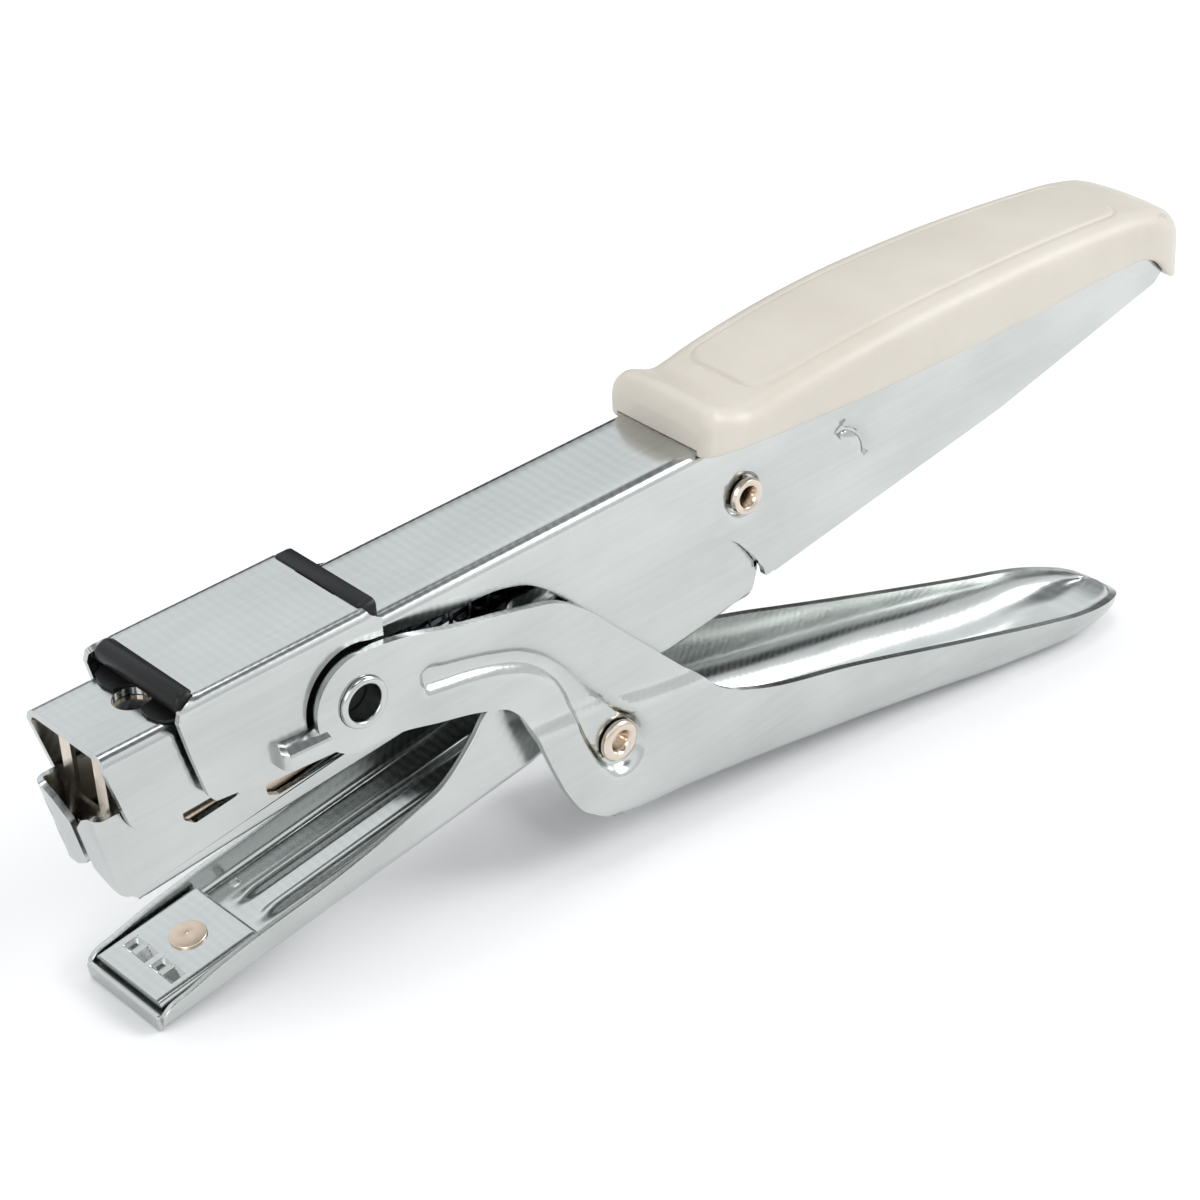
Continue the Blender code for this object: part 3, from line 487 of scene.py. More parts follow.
def makeChannel():
    half = lambda x: channelValues["half"] + 0 * x
    level = lambda x: channelValues["level"] + 0 * x
    place, wallAt = bentSection(half, level, channelValues["bend"], -1)
    side = lambda line: [(x, wallAt(x, z)) for x, z in line]
    flat = channelValues["half"] - channelValues["bend"]
    neckStart = (20.0, -2.35)
    nose = closedRun(roundCorners([(-0.1, -1.5, 0), (1.75, -8.5, 1.0), (2.6, -10.3, 1.6), (5.0, -10.65, 2),
                                   (13.2, -10.3, 0.4), (14.9, -2.4, 0.6), (*neckStart, 0)], 0.35), 0.6)
    nose = nose[:nose.index(neckStart) + 1]
    neck = smoothLine([neckStart, (30.0, -2.3), (35.0, -2.5), (42.0, -3.4), (50.7, -4.2), (53.0, -5.0),
                       (55.7, -6.8), (57.6, -8.7), (59.3, -10.2)], 0.5)
    neck = joinLines(neck, straightLine([(60.4, -10.95), (76.0, -11.0)], 0.8))
    front = straightLine([(0, 0), (0, flat), (-0.1, wallAt(0, -1.5))], 0.3)
    end = channelValues["rear"]
    rear = straightLine([(end, wallAt(*channelRimRear[-1])), (end, 0)], 0.4)
    notch = roundCorners([(85.8, -16.6, 0), (87.3, -19.0, 0.4), (87.5, -20.1, 0.3), (88.9, -20.0, 0.3)], 0.3)
    outline = joinLines(front, side(nose), side(neck), side(smoothLine(channelRim, 0.6)), side(notch),
                        side(straightLine(channelRimRear, 1.0)), rear, straightLine([(end, 0), (0, 0)], 1.1))
    # the nose hole opens on the middle line, so the outline runs round it
    holeX, holeRadius = channelValues["noseHole"]
    hole = joinLines([(x, abs(y)) for x, y in arcLine((holeX, 0), holeRadius, 180, 0, 0.3)])
    outline = [p for p in outline if not (p[1] < 0.02 and abs(p[0] - holeX) < holeRadius)]
    where = max(i for i, p in enumerate(outline) if p[1] < 0.02 and p[0] > holeX)
    outline = outline[:where + 1] + hole[::-1] + outline[where + 1:]
    rivetHole = side(arcLine(rearPivot, channelValues["rivetHole"], 0, 360, 0.3)[:-1])
    dimpleRadius, dimpleDepth = channelValues["dimple"]
    dimpleSlope = channelValues["dimpleSlope"]
    dimple = arcLine(rearPivot, dimpleRadius, 0, 360, 0.3)[:-1]
    arrow = curvedArrow()
    creases = [side(loop) for loop in slopeLoops(dimple, dimpleSlope, 4)
               + slopeLoops(arrow, arrowValues["slope"], 1)]

    def press(x, z):
        away = np.hypot(x - rearPivot[0], z - rearPivot[1])
        dent = -dimpleDepth * stepUp((dimpleRadius - away) / dimpleSlope)
        zoneFront, zoneRear, zoneTop = arrowValues["zone"]
        near = (x > zoneFront) & (x < zoneRear) & (z < zoneTop)
        mark = np.zeros(len(x))
        mark[near] = -arrowValues["depth"] * stepUp(
            depthInside(np.stack([x[near], z[near]], axis=1), arrow) / arrowValues["slope"])
        return dent + mark

    rows = np.concatenate([np.arange(0.9, flat - 0.3, 1.1), np.arange(flat, flat + 1.7, 0.26),
                           np.arange(flat + 2.2, 30, 1.1)])
    pressedSheet("channelShell", "brightNickel", "upper_handle", ["upper_channel"], outline,
                 lambda u, v: place(u, v, press), {**channelValues, "rows": rows}, [rivetHole], creases)


makeChannel()
print("channel ready")


# hood: cap over the liner, cut away round the lever arm's end

hoodValues = {"half": 7.85, "level": 2.3, "bend": 0.9, "sheet": 0.7, "edge": 0.22, "spacing": 0.8,
              "clear": 0.3, "cutRadius": 6.25, "armFoot": (32.4, -9.0), "rearX": 33.2}


def makeHood():
    half = lambda x: hoodValues["half"] + 0 * x
    level = lambda x: hoodValues["level"] + 0 * x
    place, wallAt = bentSection(half, level, hoodValues["bend"], -1)
    side = lambda line: [(x, wallAt(x, z)) for x, z in line]
    flat = hoodValues["half"] - hoodValues["bend"]
    frontEdge = straightLine([(10.9, 0), (10.9, 3.2), (10.6, 3.5), (10.6, flat + 0.2), (8.4, flat + 0.9),
                              (8.0, wallAt(8, 0.8))], 0.3)
    armFoot, rearX = hoodValues["armFoot"], hoodValues["rearX"]
    lower = roundCorners([(8.0, 0.8, 0), (8.9, -3.6, 2), (10.2, -9.0, 1.2), (11.0, -9.9, 0.6),
                          (13.6, -10.2, 0.2), (13.8, -10.75, 0.2), (25.0, -11.6, 0), (31.0, -12.0, 0.6),
                          (32.2, -11.6, 0.6), (*armFoot, 0)], 0.4)
    # under the lever's arm the wall runs forward again to the arc round the arm's end
    arc = arcLine(hoodPivot, hoodValues["cutRadius"], 200, 78, 0.35)
    sideLine = joinLines(lower, straightLine([armFoot, (25.0, -8.9), arc[0]], 0.4), arc,
                         straightLine([arc[-1], (rearX, -1.3), (rearX, 1.2)], 0.4))
    rearEdge = straightLine([(rearX, wallAt(rearX, 1.2)), (31.9, flat + 0.9), (31.4, flat - 0.2),
                             (31.4, 3.5), (31.1, 3.2), (31.1, 0)], 0.3)
    outline = joinLines(frontEdge, side(sideLine), rearEdge, straightLine([(31.1, 0), (10.9, 0)], 0.8))
    rows = np.concatenate([np.arange(0.8, flat - 0.3, 0.8), np.arange(flat, flat + 1.5, 0.24),
                           np.arange(flat + 2.0, 26, 0.8)])
    pressedSheet("hoodCap", "brightNickel", "hood", ["hood_cover"], outline, place,
                 {**hoodValues, "rows": rows})


makeHood()
print("hood ready")


# lever: arms with a pressed groove, cranked body with a sunk seat, trough-shaped tail

leverValues = {"sheet": 0.9, "edge": 0.26, "spacing": 0.6, "flare": 0.8, "grooveDepth": 0.8,
               "seatDepth": 1.25, "slope": 1.25, "endRadius": 5.75, "boltHole": 2.95, "seatHole": 1.9,
               "curlStart": 58.0, "webStart": 64.0, "tip": 153.1, "clear": 0.3, "crease": 2.8}
leverTopPoints = [(33.0, -1.15), (42.3, -3.7), (51.1, -5.8), (55.2, -7.1), (58.3, -9.3), (63.5, -14.6),
                  (69.0, -20.4), (74.0, -25.6), (76.7, -28.3), (79.0, -30.0), (82.2, -31.6), (99.5, -37.4),
                  (121.0, -44.6), (138.6, -50.2), (147.0, -52.6), (151.0, -53.9), (153.1, -54.8)]
leverBottomPoints = [(56.0, -34.5), (58.8, -36.6), (61.8, -37.9), (65.0, -39.1), (73.6, -41.4),
                     (85.8, -44.6), (114.8, -51.0), (139.4, -55.7), (147.0, -56.1), (151.0, -55.6),
                     (153.1, -54.95)]
leverAcrossPoints = [(58.0, 0.0), (61.0, 0.5), (64.0, 1.6), (68.0, 2.9), (80.0, 5.0), (100.0, 5.8),
                     (121.0, 5.4), (140.0, 5.0), (148.0, 4.0), (153.1, 0.2)]
leverHalfPoints = [(22.0, 9.75), (66.0, 9.75), (72.0, 9.7), (80.0, 9.35), (100.0, 8.3), (121.0, 7.7),
                   (136.0, 7.3), (141.0, 7.1), (145.0, 6.5), (148.5, 5.4), (151.0, 4.1), (152.4, 2.8),
                   (153.1, 0.4)]
leverCreaseLine = [(50.0, -21.3), (54.9, -21.9), (62.8, -23.4), (66.9, -24.4), (73.8, -25.6), (77.5, -27.0)]
grooveLoop = [(36.0, -6.7), (37.4, -5.95), (40.4, -6.6), (46.5, -8.3), (50.3, -9.8), (53.7, -12.2),
              (56.3, -15.0), (59.5, -19.5), (62.5, -23.2), (65.3, -26.0), (66.4, -28.6), (65.6, -31.4),
              (63.4, -33.0), (61.0, -32.8), (58.9, -31.0), (57.2, -27.9), (55.8, -24.0), (54.9, -20.4),
              (53.2, -16.9), (50.2, -14.0), (46.9, -12.4), (42.3, -11.1), (38.5, -10.4), (36.6, -9.9),
              (35.9, -8.4)]


def makeLever():
    curlStart, webStart, slope = (leverValues[k] for k in ("curlStart", "webStart", "slope"))
    grooveDepth = leverValues["grooveDepth"]
    grooveSpan, creaseEnd, seatTop = (30, 72), 78, -18.0
    topCurve = smoothLine(leverTopPoints, 0.6)
    topOf = lambda x: np.interp(x, *np.array(topCurve).T)
    bottomOf = profileOf(leverBottomPoints)
    acrossOf = profileOf(leverAcrossPoints)     # how far in the round bend at the foot of the wall reaches
    bodyOf = profileOf(leverHalfPoints)

    def bendOf(x):
        across = np.minimum(acrossOf(x), 0.82 * bodyOf(x))
        rise = np.minimum(across * 1.1, 0.9 * np.maximum(topOf(x) - bottomOf(x), 0.1))
        quarter = math.pi / 4 * (across + rise)
        return across, rise, quarter, bottomOf(x) + rise

    def bottomAt(x):
        _, _, quarter, end = bendOf(x)
        return float(-end + quarter)

    def middleAt(x):
        across, _, quarter, end = bendOf(x)
        return float(-end + quarter + bodyOf(x) - across)

    creaseOf = lambda x: np.interp(x, *np.array(leverCreaseLine).T)
    groove = closedRun(smoothLine(grooveLoop + grooveLoop[:1], 0.5)[:-1], 0.5)

    def place(u, v):
        across, rise, quarter, end = bendOf(u)
        end = np.where(u < curlStart, -1000.0, end)     # no bend ahead of the curl
        bent = np.clip((v + end) / np.maximum(quarter, 1e-6), 0, 1)
        angle = bent * math.pi / 2
        z = np.where(v <= -end, -v, end - rise * np.sin(angle))
        flared = stepUp((creaseOf(u) - z) / leverValues["crease"] + 0.5)
        flared = np.where(u > creaseEnd, 1.0, flared)
        half = bodyOf(u) - leverValues["flare"] * (1 - flared)
        depth = depthInside(np.stack([u, z], axis=1), groove)
        depth[(u < grooveSpan[0]) | (u > grooveSpan[1])] = -1
        seatShare = stepUp((seatTop - z) / 7)           # the groove deepens towards the rivet's seat
        sunk = grooveDepth + (leverValues["seatDepth"] - grooveDepth) * seatShare
        half = half - sunk * stepUp(depth / slope) * (bent < 0.02)
        y = half - across * (1 - np.cos(angle))
        floorPart = np.maximum(v + end - quarter, 0)
        y = np.where(bent >= 1, np.maximum(half - across - floorPart, 0), y)
        y = np.where(y < 1e-3, 0, y)
        return np.stack([u, y, z], axis=1)

    flatten = lambda line: [(x, -z) for x, z in line]
    top = flatten(joinLines(arcLine(hoodPivot, leverValues["endRadius"], 180, 92, 0.35),
                            smoothLine([(28.7, -0.65)] + leverTopPoints, 0.5)))
    middle = [(x, middleAt(x)) for x in np.arange(leverValues["tip"] - 0.1, webStart, -0.6)]
    web = straightLine([(webStart, middleAt(webStart)), (webStart, bottomAt(webStart))], 0.4)
    curl = [(x, bottomAt(x)) for x in np.arange(webStart, curlStart - 0.1, -0.4)]
    under = flatten(smoothLine([(curlStart, float(bottomOf(curlStart))), (56.0, -34.5), (54.1, -31.6),
                                (52.3, -27.3), (50.4, -22.0), (49.3, -19.2), (47.4, -16.9), (43.9, -15.35),
                                (38.0, -13.7), (32.5, -12.3), (28.1, -12.1)], 0.5))
    tip = flatten(arcLine(hoodPivot, leverValues["endRadius"], 262, 181, 0.35))
    outline = joinLines(top, middle, web, curl, under, tip)
    holes = [flatten(arcLine(hoodPivot, leverValues["boltHole"], 0, 360, 0.3)[:-1]),
             flatten(arcLine(leverPivot, leverValues["seatHole"], 0, 360, 0.3)[:-1])]
    creases = [flatten(loop) for loop in slopeLoops(groove, slope, 4)]
    for rise in np.linspace(-0.5, 0.5, 7) * leverValues["crease"]:
        creases.append(flatten([(x, z + rise) for x, z in straightLine(leverCreaseLine, 0.6)
                                if 51.5 < x < 74.5]))
    pressedSheet("leverShell", "brightNickel", "lever", ["lever"], outline, place,
                 leverValues, holes, creases)


makeLever()
print("lever ready")


# grip: moulded cover with a raised front lip, a bordered top panel and a rear hook

gripValues = {"front": 78.2, "inner": 7.05, "ceiling": 0.3, "shoulder": 2.4, "crown": 0.5,
              "panelX": (87.6, 149.0), "panelY": 5.25, "panelRound": 2.6, "panelDepth": 0.16,
              "channelEnd": 155.5, "frontRound": 1.1, "topHalf": 5.6}
gripTopPoints = [(78.2, 3.6), (79.0, 4.6), (80.2, 4.95), (81.6, 4.5), (83.2, 3.75), (84.8, 3.4), (86.6, 3.5),
                 (88.8, 3.8), (96.0, 4.5), (109.0, 5.05), (121.0, 4.8), (134.0, 4.0), (143.0, 3.1),
                 (150.0, 2.1), (155.0, 0.6), (158.2, -1.3), (159.4, -2.6), (160.0, -4.0)]
gripSkirtPoints = [(78.2, -0.4), (81.0, -0.8), (94.0, -1.6), (107.3, -2.3), (127.7, -3.2), (146.0, -3.7),
                   (150.4, -4.1), (153.0, -5.4), (155.0, -7.6), (156.4, -8.9), (158.4, -9.5), (160.0, -8.9)]
gripHalfPoints = [(78.2, 7.9), (80.0, 8.05), (150.0, 8.0), (154.0, 7.85), (156.6, 7.2), (158.4, 6.1),
                  (159.4, 5.0), (160.0, 3.9)]


def panelLine(x, y, reach):         # height of the top panel's border, a small groove inside a step
    front, rear = gripValues["panelX"]
    corner = gripValues["panelRound"]
    alongBox = abs(x - (front + rear) / 2) - (rear - front) / 2 + corner
    acrossBox = y - gripValues["panelY"] * reach / gripValues["topHalf"] + corner
    away = math.hypot(max(alongBox, 0), max(acrossBox, 0)) + min(max(alongBox, acrossBox), 0) - corner
    return gripValues["panelDepth"] * (float(stepUp(0.5 - away / 0.42)) - math.exp(-(away / 0.22) ** 2))


def gripSection(x, half, top, skirt, across):       # (y, z) down the outside and back along the inside
    shoulder = min(gripValues["shoulder"], 0.62 * (top - skirt), 0.6 * half)
    inner = min(gripValues["inner"], half - 0.35)
    ceiling = gripValues["ceiling"] if x < gripValues["channelEnd"] else skirt + 0.02
    ceiling = max(min(ceiling, top - 0.6), skirt + 0.02)
    reach = half - shoulder
    line = []
    for y in across / gripValues["topHalf"] * reach:
        drop = gripValues["crown"] * (y / half) ** 2
        line.append((y, top - drop + panelLine(x, y, reach)))
    drop = gripValues["crown"] * (reach / half) ** 2
    for s in range(1, 9):
        a = math.pi / 2 * s / 8
        line.append((reach + shoulder * math.sin(a), top - drop - shoulder * (1 - math.cos(a)) ** 0.94))
    low = top - drop - shoulder
    for s in range(1, 6):
        line.append((half, low + (skirt + 0.25 - low) * s / 5))
    line += [(half - 0.08, skirt + 0.08), (half - 0.25, skirt)]
    if ceiling > skirt + 0.3:
        line += [(inner + 0.12, skirt), (inner, skirt + 0.12)]
    else:                                           # solid behind the channel's end
        line += [(inner + 0.12, skirt + 0.005), (inner, skirt + 0.01)]
    return line + [(inner, ceiling), (inner * 0.5, ceiling), (0, ceiling)]


def makeGrip():
    topOf, skirtOf, halfOf = profileOf(gripTopPoints), profileOf(gripSkirtPoints), profileOf(gripHalfPoints)
    front, frontRound = gripValues["front"], gripValues["frontRound"]
    stations = sorted(set(np.round(np.concatenate([
        front + frontRound * (1 - np.cos(np.linspace(0, math.pi / 2, 7))),
        np.arange(79.6, 85.6, 0.35), np.arange(85.6, 90.4, 0.14), np.arange(90.4, 146.4, 1.0),
        np.arange(146.4, 150.4, 0.14), np.arange(150.6, 159.0, 0.35), np.arange(159.0, 160.01, 0.16)]), 3)))
    across = np.concatenate([np.arange(0, 4.7, 0.55), np.arange(4.75, 5.62, 0.1)])
    bm = bmesh.new()
    rings = []
    for x in stations:
        half, top, skirt = float(halfOf(x)), float(topOf(x)), float(skirtOf(x))
        ahead = front + frontRound - x
        if ahead > 0:                               # rounded front edges
            drawn = frontRound - math.sqrt(max(frontRound ** 2 - ahead ** 2, 0))
            half, top = half - drawn, top - drawn
        outer = gripSection(x, half, top, skirt, across)
        ring = [(x, y, z) for y, z in outer] + [(x, -y, z) for y, z in outer[-2:0:-1]]
        rings.append([bm.verts.new(p) for p in ring])
    skinRings(bm, rings)
    bmesh.ops.recalc_face_normals(bm, faces=bm.faces)
    addPiece("gripCover", bm, "creamPlastic", "upper_handle", ["grip_cover"], 55)


makeGrip()
print("grip ready")


# anvil arm: channel open upwards with two long ribs, a square pilot hole and ears inside the handle

anvilValues = {"sheet": 0.8, "edge": 0.22, "spacing": 0.8, "bend": 1.25, "slope": 0.14, "outer": 6.55,
               "ear": 5.2, "front": 1.6, "floorEnd": 55.0, "ribHeight": 0.6, "ribAcross": (2.0, 1.0),
               "ribSpan": (17.5, 53.0), "ribRunOut": 3, "pilot": (19.6, 4.5, 0.45), "rivetHole": 1.9,
               "lip": (1.3, 2.15, 2.05), "clear": 0.3}
anvilRimPoints = [(2.6, -32.6), (5.4, -31.8), (9.9, -30.6), (14.3, -29.7), (25.4, -27.9), (35.9, -25.3),
                  (39.3, -24.2), (42.4, -22.0), (44.4, -20.0), (46.5, -17.6), (49.5, -16.2), (54.0, -15.4),
                  (57.5, -12.4), (60.5, -9.9), (78.0, -9.0), (82.3, -6.2), (84.7, -4.9), (86.4, -5.5),
                  (87.4, -8.0)]
anvilLowerPoints = [(87.4, -19.5), (85.8, -23.0), (80.0, -24.3), (73.6, -25.2), (68.0, -27.4), (65.6, -30.6),
                    (62.1, -32.4), (58.6, -31.0), (56.5, -28.9), (55.0, -28.6)]


def anvilFloor(x):
    footX, footZ = standValues["frontFoot"]
    return footZ + anvilValues["sheet"] / 2 + anvilValues["slope"] * (x - footX)


def makeLip():                      # end of the floor turned up in front of the clinching plate
    x0, x1, height = anvilValues["lip"]
    foot = anvilFloor(x0) - anvilValues["sheet"] / 2
    half = anvilValues["outer"] - 0.15
    bm = bmesh.new()
    corners = [(x0 + 0.25, foot), (x1, foot), (x1, foot + height), (x0, foot + height)]
    ends = [[bm.verts.new((x, y, z)) for x, z in corners] for y in np.linspace(-half, half, 9)]
    skinRings(bm, ends)
    bmesh.ops.recalc_face_normals(bm, faces=bm.faces)
    piece = addPiece("anvilLip", bm, "brightNickel", "anvil", (), 30)
    addBevel(piece, 0.36, 4, 40)


def makeAnvilArm():
    outer, ear, front, floorEnd = (anvilValues[k] for k in ("outer", "ear", "front", "floorEnd"))
    half = lambda x: np.interp(x, [0, 52.0, 54.0, 57.0, 59.0], [outer, outer, 6.25, 5.4, ear])
    place, wallAt = bentSection(half, anvilFloor, anvilValues["bend"], 1)
    side = lambda line: [(x, wallAt(x, z)) for x, z in line]
    flat = outer - anvilValues["bend"]
    rimStart = (1.9, -33.2)
    nose = straightLine([(front, 0), (front, flat - 1.0), (1.75, flat + 0.4), (1.9, wallAt(*rimStart))], 0.3)
    rim = side(joinLines(smoothLine([rimStart] + anvilRimPoints[:12], 0.5),
                         smoothLine(anvilRimPoints[11:], 0.5)))
    lower = side(smoothLine(anvilLowerPoints, 0.5))
    # the floor ends behind the jaw, and past it the walls run on alone
    floorBack = straightLine([(floorEnd, wallAt(floorEnd, -28.6)), (floorEnd, 0)], 0.4)
    outline = joinLines(nose, rim, lower, [p for p in floorBack if p[1] < wallAt(floorEnd, -28.5)],
                        straightLine([(floorEnd, 0), (front, 0)], 0.8))
    pilotX, pilotY, pilotHalf = anvilValues["pilot"]
    pilot = [(pilotX + a * pilotHalf, pilotY + b * pilotHalf)
             for a, b in ((-1, -1), (1, -1), (1, 1), (-1, 1))]
    holes = [pilot] + [side(arcLine(pivot, anvilValues["rivetHole"], 0, 360, 0.4)[:-1])
                       for pivot in (rearPivot, leverPivot)]

    def floorPress(u, y):
        centre, width = anvilValues["ribAcross"]
        start, end = anvilValues["ribSpan"]
        runOut = anvilValues["ribRunOut"]
        rib = stepUp(1 - np.abs(y - centre) / width)
        return anvilValues["ribHeight"] * rib * (stepUp((u - start) / runOut) * stepUp((end - u) / runOut))

    rows = np.concatenate([np.arange(0.3, flat - 0.2, 0.27), np.arange(flat, flat + 2.1, 0.27),
                           np.arange(flat + 2.7, 40, 0.8)])
    pressedSheet("anvilArmShell", "brightNickel", "anvil", ["anvil_arm"], outline,
                 lambda u, v: place(u, v, None, floorPress), {**anvilValues, "rows": rows}, holes)
    makeLip()


makeAnvilArm()
print("anvil arm ready")


# clinching plate with its staple pockets, held by a flat rivet

plateValues = {"x": (2.4, 15.5), "half": 5.8, "thick": 1.6, "lift": 2.5, "pocketX": 5.8, "pocketHalf": 0.95,
               "pocketDepth": 0.6, "pockets": (2.4, 2.0), "pitch": 0.1, "sideRound": 0.8}


def makeClinchPlate():
    x0, x1 = plateValues["x"]
    xs = np.arange(x0, x1 + 1e-6, plateValues["pitch"])
    turn = plateValues["sideRound"] * (1 - np.cos(np.linspace(0, math.pi / 2, 8)))
    flat = plateValues["half"] - plateValues["sideRound"]
    middle = np.linspace(-flat, flat, 101)
    ys = np.concatenate([-plateValues["half"] + turn[:-1], middle, (plateValues["half"] - turn[:-1])[::-1]])
    bm = bmesh.new()
    grid = []
    for x in xs:
        row = []
        for y in ys:
            across = abs(y)
            # each pocket slopes down from its waist to a deep, square outer end
            centre, reach = plateValues["pockets"]
            along = abs(across - centre) / reach
            off = abs(x - plateValues["pocketX"]) / plateValues["pocketHalf"]
            floor = plateValues["pocketDepth"] * (0.35 + 0.65 * along)
            sides = (1 - off) * (0.9 + 0.6 * (1 - along))
            ends = (1 - along) * 5
            depth = max(0, min(floor, sides, ends))
            edge = min(x1 - x, plateValues["half"] - across)
            ahead = max(0, plateValues["sideRound"] - edge)
            depth += plateValues["sideRound"] - math.sqrt(plateValues["sideRound"] ** 2 - 0.96 * ahead ** 2)
            row.append(bm.verts.new((x, y, anvilFloor(x) + plateValues["lift"] - depth)))
        grid.append(row)
    for a, b in zip(grid, grid[1:]):
        for k in range(len(ys) - 1):
            bm.faces.new((a[k], b[k], b[k + 1], a[k + 1]))
    rim = [grid[0][k] for k in range(len(ys))] + [row[-1] for row in grid[1:]] + \
          [grid[-1][k] for k in range(len(ys) - 2, -1, -1)] + [row[0] for row in grid[-2:0:-1]]
    foot = [bm.verts.new((v.co.x, v.co.y, anvilFloor(v.co.x) + plateValues["lift"] - plateValues["thick"]))
            for v in rim]
    for i in range(len(rim)):
        j = (i + 1) % len(rim)
        bm.faces.new((rim[i], rim[j], foot[j], foot[i]))
    bm.faces.new(foot[::-1])
    bmesh.ops.recalc_face_normals(bm, faces=bm.faces)
    addPiece("clinchPlate", bm, "brightNickel", "anvil", ["anvil_plate"], 16)


makeClinchPlate()
print("clinching plate ready")


# magazine: channel open upwards with side windows, closed at the nose by two turned-in flanges

magazineValues = {"sheet": 0.7, "edge": 0.2, "spacing": 0.8, "clear": 0.28, "bend": 0.8, "half": 5.25,
                  "tongue": 3.95, "floor": -19.35, "slope": 4.5, "nose": (-1.05, -7.4, 0.2),
                  "frontBend": 0.9, "slot": 0.55, "wallStart": 1.6, "floorStart": 2.8, "rear": 88.0,
                  "rivetHole": 1.9}
magazineRimLine = [(8.3, -7.9, 0), (8.5, -12.3, 0.7), (9.8, -13.3, 0.6), (15.2, -12.7, 0.6),
                   (15.4, -9.5, 0.4), (18.3, -9.6, 0.4), (18.6, -14.6, 0.7), (20.0, -15.2, 0.6),
                   (27.4, -14.6, 2), (33.0, -13.9, 2), (36.0, -11.0, 1), (48.0, -9.0, 3), (58.0, -8.0, 2),
                   (64.0, -9.2, 2), (79.0, -8.6, 1), (81.0, -5.8, 1), (84.7, -4.4, 1), (88.0, -6.0, 0.5)]


def magazineFloor(x):
    rise = math.tan(math.radians(magazineValues["slope"]))
    return magazineValues["floor"] + magazineValues["sheet"] / 2 + rise * (x - 1.0)


def noseLine(z):                    # the flanges' middle surface leans back as it goes down
    x, height, lean = magazineValues["nose"]
    return x + (height - z) * lean


def makeMagazine():
    wall, tongue = magazineValues["half"], magazineValues["tongue"]
    half = lambda x: np.interp(x, [0, 49.4, 50.4, 52.4, 53.2], [wall, wall, 4.95, 4.05, tongue])
    bend, turn = magazineValues["frontBend"], magazineValues["frontBend"] * math.pi / 2
    section, wallAt = bentSection(half, magazineFloor, magazineValues["bend"], 1)

    def place(u, v):
        solid = section(u, v)
        z = solid[:, 2]
        front = noseLine(z)
        ahead = front + bend - u                # length past the start of the front bend
        angle = np.clip(ahead / bend, 0, math.pi / 2)
        wrapped = ahead > 0
        inset = bend * (1 - np.cos(angle)) + np.maximum(ahead - turn, 0)
        onWall = solid[:, 1] > wall - 0.02
        solid[:, 0] = np.where(wrapped & onWall, front + bend - bend * np.sin(angle), solid[:, 0])
        solid[:, 1] = np.where(wrapped & onWall, wall - inset, solid[:, 1])
        return solid

    side = lambda line: [(x, wallAt(x, z)) for x, z in line]
    reach = turn + wall - bend - magazineValues["slot"]
    flangeX = lambda z, share=1.0: noseLine(z) + bend - reach * share
    wallStart, floorStart, end = (magazineValues[k] for k in ("wallStart", "floorStart", "rear"))
    wallFoot = float(magazineFloor(1.0)) + magazineValues["bend"] + 0.25
    flange = [(wallStart, wallFoot, 0), (flangeX(wallFoot, 0.55), wallFoot + 0.1, 0.6),
              (flangeX(wallFoot + 1.6), wallFoot + 1.6, 0.5), (flangeX(-10.8), -10.8, 0.5),
              (flangeX(-8.6, 0.62), -8.6, 0.8), (flangeX(-7.5, 0.3), -7.5, 0.8), (3.0, -7.6, 0.5)]
    rim = roundCorners([*flange, *magazineRimLine], 0.35)
    # the floor starts behind the driver's way down
    floorFront = straightLine([(floorStart, 0), (floorStart, 4.4),
                               (wallStart, wallAt(wallStart, wallFoot))], 0.3)
    rear = straightLine([(end, wallAt(end, -6.0)), (end, 0)], 0.5)
    outline = joinLines(floorFront, closedRun(side(rim), 0.5)[:-1], rear,
                        straightLine([(end, 0), (floorStart, 0)], 0.9))
    rivetHole = side(arcLine(rearPivot, magazineValues["rivetHole"], 0, 360, 0.4)[:-1])
    rows = np.concatenate([np.arange(0.8, 4.3, 0.9), np.arange(4.45, 5.8, 0.22), np.arange(6.4, 30, 0.7)])
    pressedSheet("magazineShell", "brightNickel", "magazine", ["magazine_channel"], outline, place,
                 {**magazineValues, "rows": rows}, [rivetHole])


makeMagazine()
print("magazine ready")


# rivets

rivetValues = {"segments": 72, "hollow": (7.35, 9.44), "rollRadius": 0.42, "fulcrumHead": 9.2,
               "rearHead": 6.75, "shank": 1.6}
# heads: length past the face, then radius
domeProfile = [(0.15, 2.5), (0.5, 2.46), (0.78, 2.2), (0.86, 1.85), (0.8, 1.5), (0.55, 1.25), (0.1, 1.1),
               (-0.7, 1.0), (-0.95, 0.8), (-1.05, 0.4), (-1.05, 0.0)]
flareProfile = [(0, 2.1), (0.35, 2.25), (0.75, 2.05), (0.85, 1.7), (0.7, 1.35), (0.2, 1.05), (-1.0, 0.95)]


